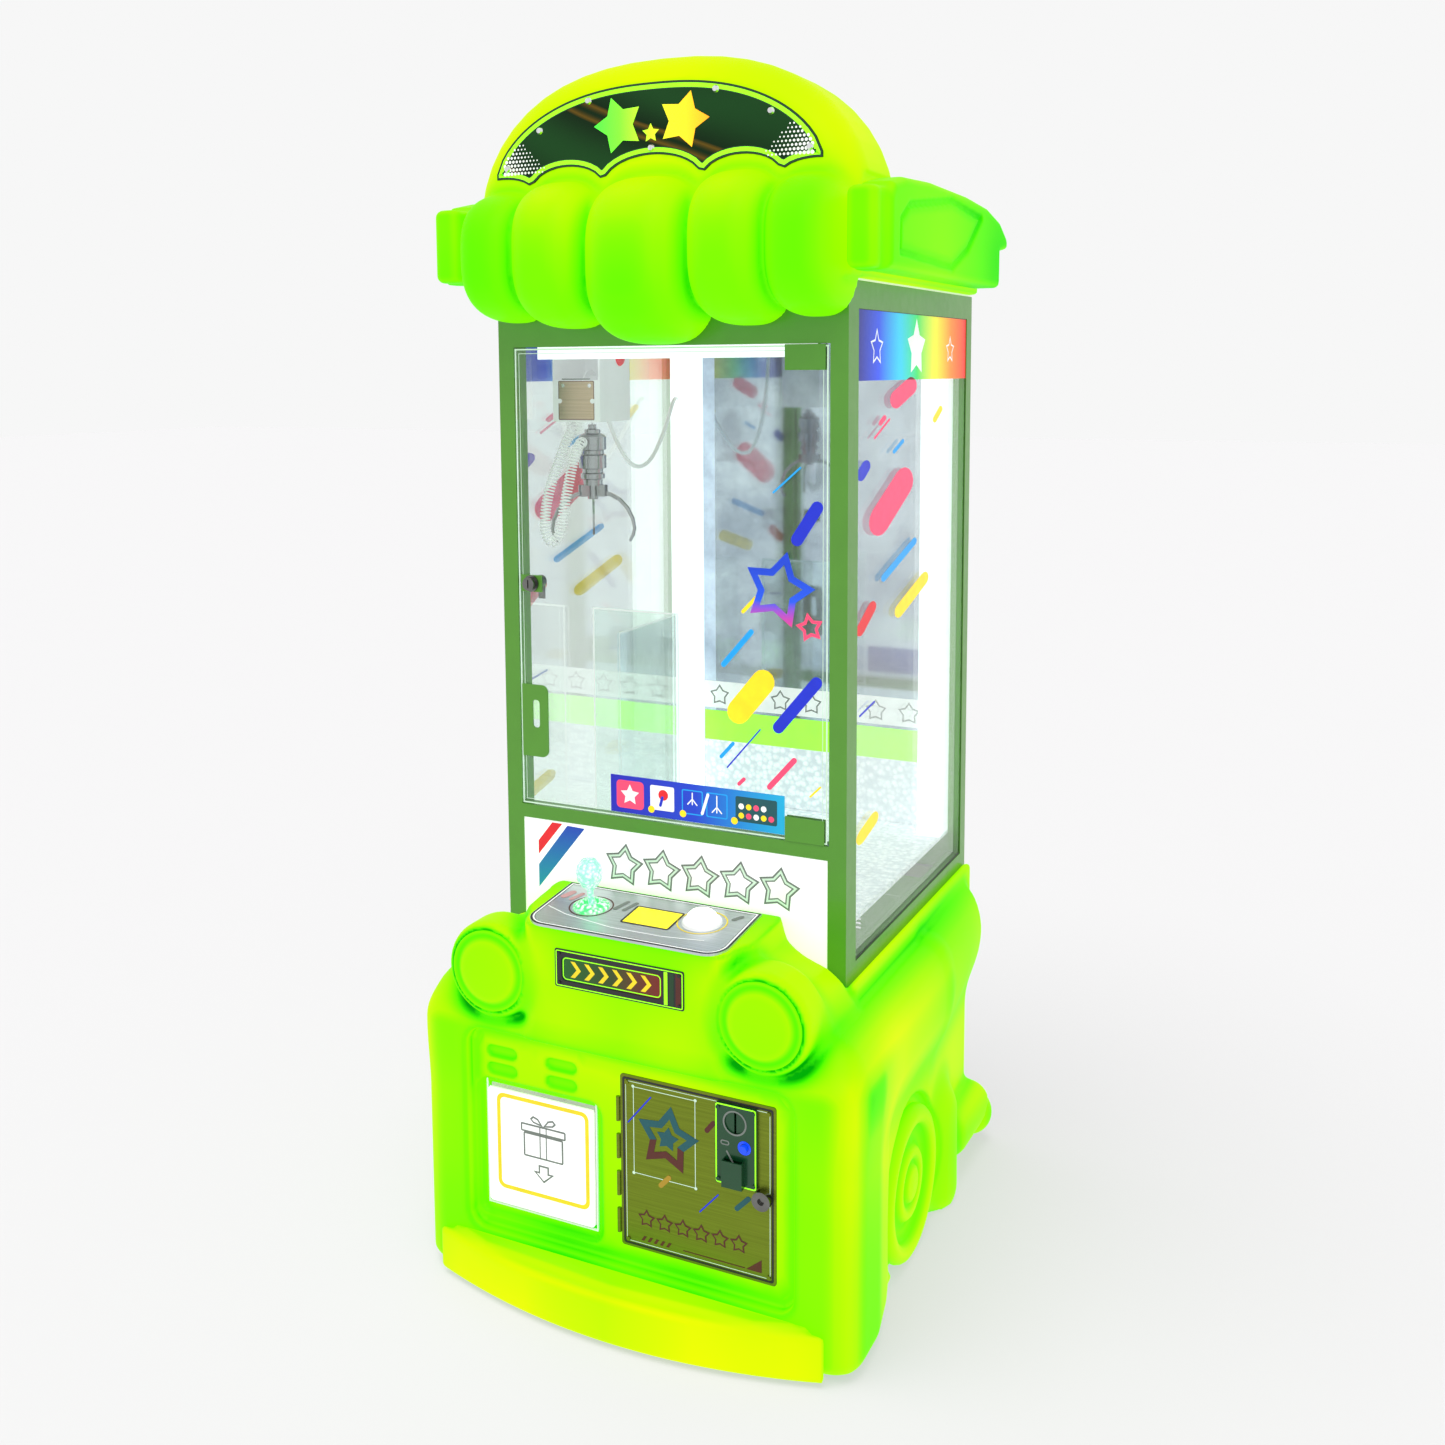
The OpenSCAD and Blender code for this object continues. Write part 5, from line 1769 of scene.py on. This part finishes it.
@dataclass
class FrontDoor:
    """The glass door with its fittings and prints."""

    half: float = 279.0
    low: float = 772.0
    high: float = 1544.0
    card: tuple[float, float, float, float] = (-106.0, 207.0, 779.0, 842.0)
    confetti: tuple[tuple[float, float, float, float, float, str], ...] = (
        (266, 1306, 222, 1239, 20, "ink_navy"), (153, 1102, 99, 1040, 9, "ink_cyan"),
        (183, 1036, 115, 954, 39, "ink_yellow"), (266, 1034, 190, 943, 19, "ink_navy"),
        (120, 919, 95, 891, 6, "ink_cyan"), (166, 945, 107, 876, 2.5, "ink_navy"),
        (226, 904, 178, 850, 9, "ink_pink"), (139, 863, 126, 850, 6, "ink_pink"),
        (160, 1155, 134, 1128, 6, "ink_yellow"), (268, 864, 249, 845, 3, "ink_yellow"),
        (234, 1359, 187, 1318, 3, "ink_cyan"),
    )

    def badge(self, art: Print) -> None:
        """A hollow star in fading colour, with a small one beside it.

        Args:
            art: the print it joins.
        """
        outer = star(196, 1168, 62, 0.56, 0.25)
        art.band(outer, inset(outer, 11), "badge_fade", 0.1)
        small = star(249, 1112, 24, 0.55, -0.2)
        art.band(small, inset(small, 5), "ink_pink", 0.1)

    def guide(self, art: Print) -> None:
        """The play guide card: pictograms on a blue ground.

        Args:
            art: the print it joins.
        """
        x0, x1, z0, z1 = self.card
        art.shape([(x0, z0), (x1, z0), (x1, z1), (x0, z1)], "card_blue", 0.1)
        art.shape(rounded(x0 + 11, x0 + 62, z0 + 8, z1 - 8, 7), "ink_pink", 0.2)
        art.shape(star(x0 + 36, z0 + 31, 18), "ink_white", 0.3)
        art.shape(rounded(x0 + 74, x0 + 118, z0 + 12, z1 - 10, 3), "ink_white", 0.2)
        art.shape(disc(x0 + 98, z0 + 38, 9), "ink_red", 0.3)
        art.bar((x0 + 92, z0 + 18), (x0 + 97, z0 + 36), 5, "ink_navy", 0.35)
        for k, x in enumerate((x0 + 132, x0 + 176)):
            art.band(rounded(x, x + 38, z0 + 12, z1 - 10, 3), rounded(x + 2, x + 36, z0 + 14, z1 - 12, 2),
                     "ink_cyan", 0.2)
            art.bar((x + 19, z1 - 14), (x + 19, z0 + 38 - 8 * k), 2, "ink_white", 0.3)
            for side in (-1, 0, 1):
                art.bar((x + 19, z0 + 38 - 8 * k), (x + 19 + 9 * side, z0 + 28 - 8 * k), 2, "ink_white", 0.3)
        art.bar((x0 + 168, z0 + 14), (x0 + 180, z1 - 12), 5, "ink_white", 0.4)
        art.shape(rounded(x0 + 228, x0 + 300, z0 + 12, z1 - 10, 3), "ink_teal", 0.2)
        for k in range(9):
            ink = ("ink_yellow", "ink_pink", "ink_white")[k % 3]
            art.shape(disc(x0 + 238 + 13 * (k % 5), z0 + 22 + 15 * (k // 5), 5, 10), ink, 0.3)
        for x in (x0 + 76, x0 + 134, x0 + 226):
            art.shape(disc(x, z0 + 12, 6, 14), "ink_yellow", 0.45)

    def build(self, finishes: Finishes) -> None:
        """Dresses the door and prints it.

        Args:
            finishes: the machine's finishes.
        """
        finishes.dress("clear_glass", "door_glass")
        finishes.dress("green_frame", "door_clamps", "door_plates")
        finishes.dress("dark_chrome", "door_lock_plug")
        art = Print("door_print", Plane.FRONT, -0.3, finishes)
        edge = [
            (-self.half, self.low), (self.half, self.low),
            (self.half, self.high), (-self.half, self.high),
        ]
        art.band(inset(edge, 0.6), inset(edge, 3.0), "ink_pale_edge")
        art.band(inset(edge, 8.0), inset(edge, 9.0), "ink_pale_edge")
        for xa, za, xb, zb, width, ink in self.confetti:
            art.bar((xa, za), (xb, zb), width, ink, 0.05)
        self.badge(art)
        self.guide(art)
        art.build("front_door", "printed_panel")


# ---- fascia ------------------------------------------------------------------


@dataclass
class Fascia:
    """The prize flap, the coin door with its mechanism, and the nameplate."""

    recess: float = -147.0

    def flap(self, finishes: Finishes) -> None:
        """Dresses the prize flap and prints a gift box over an arrow.

        Args:
            finishes: the machine's finishes.
        """
        finishes.dress("white_board", "prize_flap")
        art = Print("prize_flap_print", Plane.FRONT, self.recess - 1.75, finishes)
        art.band(rounded(-245.6, -70.4, 161.4, 326.6, 13.6), rounded(-238.6, -77.4, 168.4, 319.6, 8.4),
                 "ink_gold")
        art.build("prize_door", "printed_panel")
        art = Print("prize_flap_picture", Plane.FRONT, self.recess + 0.25, finishes)
        box = rounded(-196, -120, 226, 268, 3)
        art.shape(box, "ink_silver").shape(inset(box, 3.0), "ink_white", 0.12)
        lid = rounded(-201, -115, 268, 283, 3)
        art.shape(lid, "ink_silver", 0.05).shape(inset(lid, 3.0), "ink_white", 0.17)
        for x in (-164, -152):
            art.shape([(x - 1, 227), (x + 1, 227), (x + 1, 282), (x - 1, 282)], "ink_silver", 0.3)
        for side in (-1, 1):
            loop = [(-158 + side * u, 283 + v) for u, v in (
                (0, 0), (9, 12), (19, 15), (25, 9), (19, 3), (9, 1))]
            art.shape(loop, "ink_silver", 0.1).shape(inset(loop, 3.0), "ink_white", 0.22)
        arrow = [(-168, 216), (-148, 216), (-148, 204), (-138, 204), (-158, 186), (-178, 204), (-168, 204)]
        art.shape(arrow, "ink_silver").shape(inset(arrow, 3.0), "ink_white", 0.12)
        art.build("prize_door", "printed_panel")

    def coin_print(self, finishes: Finishes) -> None:
        """Prints the coin door: border, hollow star, slanted bars and a row of dots.

        Args:
            finishes: the machine's finishes.
        """
        finishes.dress("coin_door_print", "coin_door")
        art = Print("coin_door_artwork", Plane.FRONT, self.recess - 3.25, finishes)
        art.band(rounded(-7, 252, 127, 404, 4), rounded(-3.6, 248.6, 130.4, 400.6, 3), "ink_black")
        art.band(
            rounded(-1.6, 246.6, 132.4, 398.6, 3), rounded(-0.6, 245.6, 133.4, 397.6, 2),
            "ink_pale_edge",
        )
        frame_line = [(12, 248), (121, 248), (121, 391), (12, 391)]
        art.band(frame_line, inset(frame_line, 1.2), "ink_pale_edge")
        for x, z in frame_line:
            art.shape(disc(x, z, 2.6, 12), "ink_pale_edge", 0.1)
        outer = star(72, 316, 56, 0.56, 0.12)
        art.band(outer, inset(outer, 11), "ink_teal", 0.1)
        foot = star(72, 316, 56, 0.56, 0.12)[3:8]
        art.shape([*foot, *reversed(inset(star(72, 316, 56, 0.56, 0.12), 11)[3:8])], "ink_brown", 0.2)
        art.shape(star(72, 317, 20, 0.56, 0.12), "ink_teal", 0.1)
        for (xa, za), (xb, zb), width, ink in (
            ((2, 329), (44, 380), 2.4, "ink_navy"), ((138, 344), (154, 364), 8, "ink_brown"),
            ((57, 235), (77, 257), 8, "ink_tan"), ((127, 211), (160, 248), 2.4, "ink_navy"),
            ((188, 230), (213, 256), 8, "ink_teal"),
        ):
            art.bar((xa, za), (xb, zb), width, ink, 0.05)
        for k in range(6):
            x = 34 + 32 * k
            art.shape(star(x, 176, 16, 0.56), "ink_brown", 0.05).shape(
                star(x, 176, 11, 0.56), "coin_door_print", 0.2)
        for k in range(5):
            x = 24 + 11 * k
            art.shape([(x, 138), (x + 5, 138), (x + 10, 146), (x + 5, 146)], "ink_brown", 0.05)
        art.bar((98, 140), (204, 140), 1.6, "ink_brown", 0.05)
        art.shape([(206, 139), (232, 139), (232, 160)], "ink_brown", 0.05)
        art.build("coin_door_leaf", "coin_door_print")

    def mechanism(self, finishes: Finishes) -> None:
        """Dresses the coin mechanism and prints its rings, a bar and the band round its plate.

        Args:
            finishes: the machine's finishes.
        """
        finishes.dress("coin_mech", "coin_acceptor")
        finishes.dress("dark_chrome", "coin_lock_plug")
        finishes.dress("lever_blue", "coin_return_lever")
        art = Print("coin_mech_print", Plane.FRONT, self.recess - 8.3, finishes)
        plate = rounded(157.6, 225.4, 271.6, 399.4, 4)
        # Painted reflection: a lime band round the plate, where the lime shell shows in the mechanism's metal
        # bezel.
        art.band(plate, inset(plate, 2.2), "ink_lime")
        art.band(disc(190, 372, 20, 28), disc(190, 372, 17.2, 28), "ink_silver", 0.1)
        art.band(disc(206, 336, 11, 24), disc(206, 336, 7, 24), "lever_blue", 0.1)
        art.band(rounded(166, 181, 334, 342, 4), rounded(168, 179, 336, 340, 2), "ink_silver", 0.1)
        art.bar((176, 326), (192, 300), 3.0, "ink_silver", 0.1)
        art.build("coin_door_leaf", "coin_mech")

    def nameplate(self, finishes: Finishes) -> None:
        """Prints the nameplate: a fading field with chevrons, and stripes.

        Args:
            finishes: the machine's finishes.
        """
        finishes.dress("black_plastic", "nameplate")
        art = Print("nameplate_print", Plane.FRONT, -172.25, finishes)
        edge = rounded(-112, 112, 543, 601, 3)
        art.band(edge, inset(edge, 1.6), "ink_lime")
        for x0, x1, ink in ((80, 86, "ink_lime"), (88.5, 97, "ink_dark_green"), (100, 108.5, "ink_brown")):
            art.shape([(x0, 546), (x1, 546), (x1, 598), (x0, 598)], ink)
        art.build("cabinet", "printed_panel")
        art = Print("nameplate_field", Plane.FRONT, -170.75, finishes)
        art.shape(rounded(-101.5, 75.5, 552.5, 591.5, 7.5), "plate_fade")
        field_line = rounded(-100, 74, 554, 590, 7)
        art.band(field_line, inset(field_line, 1.4), "ink_lime", 0.1)
        for k in range(6):
            x = -86 + 25 * k
            art.shape([(x, 559), (x + 8, 559), (x + 19, 572), (x + 8, 585), (x, 585), (x + 11, 572)],
                      "ink_gold", 0.15)
        art.build("cabinet", "printed_panel")

    def build(self, finishes: Finishes) -> None:
        """Dresses the fascia.

        Args:
            finishes: the machine's finishes.
        """
        self.flap(finishes)
        self.coin_print(finishes)
        self.mechanism(finishes)
        self.nameplate(finishes)


# ---- control deck ------------------------------------------------------------


@dataclass
class ControlDeck:
    """The control panel with joystick, display and lit button."""

    stick: Point2 = (-96.0, -72.0)
    button: Point2 = (99.0, -62.0)

    @staticmethod
    def outline(gap: float) -> list[Point2]:
        """The control panel's outline, moved in by a gap.

        Args:
            gap: how far in it is moved.

        Returns:
            The points of the outline.
        """
        points = [(-175 + gap, -1 - gap), (175 - gap, -1 - gap)]
        for side, start in ((1, 0.0), (-1, -90.0)):
            for k in range(9):
                a = math.radians(start - 90 * k / 8)
                points.append((side * 140 + (35 - gap) * math.cos(a), -122 + (35 - gap) * math.sin(a)))
        return points

    def print(self, finishes: Finishes) -> None:
        """Prints the panel's border and faint marks.

        Args:
            finishes: the machine's finishes.
        """
        art = Print("control_panel_print", Plane.DECK, 0.2, finishes)
        art.band(self.outline(0.6), self.outline(4.2), "ink_black")
        art.band(self.outline(4.2), self.outline(7.0), "ink_white")
        art.band(self.outline(7.0), self.outline(8.0), "ink_black")
        art.band(rounded(-26, 61, -106, -43, 5), rounded(-22.6, 57.6, -102.6, -46.4, 2), "ink_black", 0.1)
        x, y = self.button
        art.band(disc(x, y, 41, 40), disc(x, y, 38.4, 40), "ink_gold", 0.1)
        x, y = self.stick
        art.band(disc(x, y, 37, 36), disc(x, y, 34.5, 36), "ink_brown", 0.1)
        for (xa, ya), (xb, yb), width, ink in (
            ((-160, -60), (-150, -30), 13, "ink_pink_faint"), ((-142, -64), (-132, -32), 9, "ink_pink_faint"),
            ((-164, -94), (-120, -112), 2, "ink_white"), ((-120, -112), (-30, -128), 2, "ink_white"),
            ((-30, -128), (60, -128), 2, "ink_white"), ((60, -128), (130, -118), 2, "ink_white"),
            ((-56, -70), (-46, -34), 8, "ink_silver"), ((-40, -70), (-30, -34), 8, "ink_silver"),
            ((68, -22), (84, -14), 6, "ink_white"), ((140, -40), (152, -20), 9, "ink_silver"),
        ):
            art.bar((xa, ya), (xb, yb), width, ink, 0.1)
        art.build("cabinet", "printed_panel")

    def build(self, finishes: Finishes) -> None:
        """Dresses the deck.

        Args:
            finishes: the machine's finishes.
        """
        finishes.dress("brushed_panel", "control_panel")
        finishes.dress("display_lit", "display")
        finishes.dress("joystick_green", "joystick_base")
        finishes.dress("bright_steel", "joystick_gimbal")
        finishes.dress("joystick_clear", "joystick_stick")
        finishes.dress("white_plastic", "button_bezel")
        finishes.dress("button_white", "button_cap")
        self.print(finishes)


# ---- crane -------------------------------------------------------------------


def catmull(points: Sequence[Point3], steps: int) -> np.ndarray:
    """A smooth line through points.

    Args:
        points: what it passes through.
        steps: how many parts each span has.

    Returns:
        The line's points.
    """
    p = np.array([points[0], *points, points[-1]], float)
    line = []
    for i in range(1, len(p) - 2):
        a, b, c, d = p[i - 1], p[i], p[i + 1], p[i + 2]
        for k in range(steps):
            t = k / steps
            line.append(0.5 * (2 * b + (c - a) * t + (2 * a - 5 * b + 4 * c - d) * t * t
                               + (3 * b - a - 3 * c + d) * t**3))
    return np.array([*line, p[-2]])


def walk(line: np.ndarray, count: int) -> np.ndarray:
    """The same line with its points evenly spaced.

    Args:
        line: the points it follows.
        count: how many steps make its width.

    Returns:
        The distances.
    """
    far = np.concatenate([[0], np.cumsum(np.linalg.norm(np.diff(line, axis=0), axis=1))])
    even = np.linspace(0, far[-1], count)
    return np.stack([np.interp(even, far, line[:, i]) for i in range(3)], 1)


def frames(line: np.ndarray) -> tuple[np.ndarray, np.ndarray]:
    """Two directions across a line at each point, carried along without twisting.

    Args:
        line: the points it follows.

    Returns:
        The two directions at each point.
    """
    ahead = np.gradient(line, axis=0)
    ahead /= np.linalg.norm(ahead, axis=1)[:, None]
    side = np.cross(ahead[0], (1, 0, 0) if abs(ahead[0][0]) < 0.9 else (0, 1, 0))
    sides = []
    for d in ahead:
        side = side - d * (side @ d)
        side = side / np.linalg.norm(side)
        sides.append(side)
    sides = np.array(sides)
    return sides, np.cross(ahead, sides)


def tube(name: str, line: np.ndarray, radius: float, sides: int) -> bpy.types.Object:
    """A closed round tube along a line.

    Args:
        name: the piece's name.
        line: the points it follows.
        radius: its radius.
        sides: how many steps make a round.

    Returns:
        The object.
    """
    u, v = frames(line)
    turn = math.tau * np.arange(sides) / sides
    rings = line[:, None] + radius * (
        np.cos(turn)[None, :, None] * u[:, None] + np.sin(turn)[None, :, None] * v[:, None]
    )
    n = len(line)
    faces = [
        (i * sides + k, i * sides + (k + 1) % sides, (i + 1) * sides + (k + 1) % sides, (i + 1) * sides + k)
        for i in range(n - 1) for k in range(sides)
    ]
    faces += [tuple(reversed(range(sides))), tuple((n - 1) * sides + k for k in range(sides))]
    return mesh_object(name, rings.reshape(-1, 3), faces)


@dataclass
class Crane:
    """The gantry, trolley, claw and their cords."""

    axis_x: float = -208.0
    axis_y: float = 130.0
    coil_route: tuple[Point3, ...] = (
        (-22, -34, 1421), (-22, -34, 1405), (-28, -54, 1370), (-38, -84, 1300), (-40, -94, 1246),
        (-28, -95, 1220), (-12, -92, 1236), (-5, -84, 1290), (-1, -64, 1352), (0, -42, 1383),
        (0, -24.3, 1383),
    )
    coil_radius: float = 8.0
    coil_pitch: float = 5.4
    coil_wire: float = 1.3
    cable_wire: float = 3.9
    string_wire: float = 1.15
    string_top: float = 1482.0
    string_foot: float = 1415.0
    cable_route: tuple[Point3, ...] = (
        (-269, 572.2, 1450), (-269, 556, 1444), (-263, 500, 1384), (-257, 430, 1334), (-255, 360, 1330),
        (-257, 300, 1380), (-263, 250, 1470), (-268, 228, 1540), (-269, 212, 1573), (-269, 190.5, 1578),
    )

    def cords(self, finishes: Finishes) -> None:
        """Makes the coiled lead, the hoist string and the supply cable.

        Args:
            finishes: the machine's finishes.
        """
        middle = walk(catmull(self.coil_route, 12) + (self.axis_x, self.axis_y, 0), 1560)
        u, v = frames(middle)
        length = np.linalg.norm(np.diff(middle, axis=0), axis=1).sum()
        turn = math.tau * np.linspace(0, length / self.coil_pitch, len(middle))
        ease = np.clip(np.minimum(np.arange(len(middle)), np.arange(len(middle))[::-1]) / 26, 0, 1)
        round_the_middle = np.cos(turn)[:, None] * u + np.sin(turn)[:, None] * v
        coil = middle + self.coil_radius * ease[:, None] * round_the_middle
        string = np.array([(self.axis_x, self.axis_y, self.string_top),
                           (self.axis_x, self.axis_y, self.string_foot)])
        for name, line, radius, sides, node, bodies, stiff, lay in (
            ("coiled_lead", coil, self.coil_wire, 6, "coil_cord",
             ("trolley_carriage", "claw"), "limp", "hanging"),
            ("supply_cable", walk(catmull(self.cable_route, 10), 90), self.cable_wire, 12, "festoon_cable",
             ("cabinet", "bridge_carriage"), "medium", "hanging"),
            ("hoist_line", walk(string, 24), self.string_wire, 8, "hoist_string",
             ("trolley_carriage", "claw"), "limp", "taut"),
        ):
            obj = tube(name, line, radius, sides)
            obj.data.materials.append(finishes["white_plastic"])
            path = row(line)
            real = float(np.linalg.norm(np.diff(path, axis=0), axis=1).sum())
            tuple(path[0])
            2 * radius * MM
            tuple(path[0])
            tuple(path[-1])
            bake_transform(obj)
            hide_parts(node)
            LOG.info("%s is %.2f m of %.1f mm cord", name, real, 2 * radius)

    def cover(self, finishes: Finishes) -> None:
        """Adds the trolley's sheet cover, its screws and the motor's cap.

        Args:
            finishes: the machine's finishes.
        """
        art = Print("trolley_cover", Plane.FRONT, self.axis_y - 52.2, finishes)
        x, low, high = self.axis_x, 1424.0, 1490.0
        plate = rounded(x - 35, x + 35, low, high, 2)
        art.shape(plate, "trolley_plate")
        art.band(plate, inset(plate, 1.2), "ink_brown", 0.1)
        art.shape(rounded(x - 28, x + 28, high + 2, high + 4, 1), "ink_silver")
        for side in (-26, 26):
            art.shape(disc(x + side, high - 8, 3.4, 14), "bright_steel", 0.2)
        art.build("trolley_carriage", "trolley_plate")
        cap = ((0.01, 6, 0.5), (9, 6, 0.5), (13, 5, 0.5), (15.5, 2, 0.5), (16, 0, 0.5), (16, -2, 0.5),
               (0.01, -2, 0.5))
        obj = turned("motor_cap", cap, (self.axis_x + 44, self.axis_y + 18, 1530), (1, 0, 0), 40, False)
        add_piece(obj, finishes["ink_red"], "trolley_carriage")

    def build(self, finishes: Finishes) -> None:
        """Dresses the crane.

        Args:
            finishes: the machine's finishes.
        """
        finishes.dress("bridge_steel", "crane_rails", "bridge")
        finishes.dress("white_plastic", "trolley")
        self.cover(finishes)
        finishes.dress("white_plastic", "hoist_drum")
        finishes.dress("claw_steel", "claw_body", "claw_prong_1", "claw_prong_2", "claw_prong_3")


def main() -> None:
    """Builds the machine in order, from the camera to the crane."""
    logging.basicConfig(level=logging.INFO, format="%(name)s: %(message)s")
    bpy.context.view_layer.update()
    finishes = Finishes()
    studio, crane = Studio(), Crane()
    studio.camera()
    crane.cords(finishes)
    studio.light()
    for part in (MouldedBase(), Canopy(), Cabinet(), FrontDoor(), Fascia(), ControlDeck(), crane):
        part.build(finishes)
        LOG.info("%s is done", type(part).__name__)


if __name__ == "__main__":
    main()
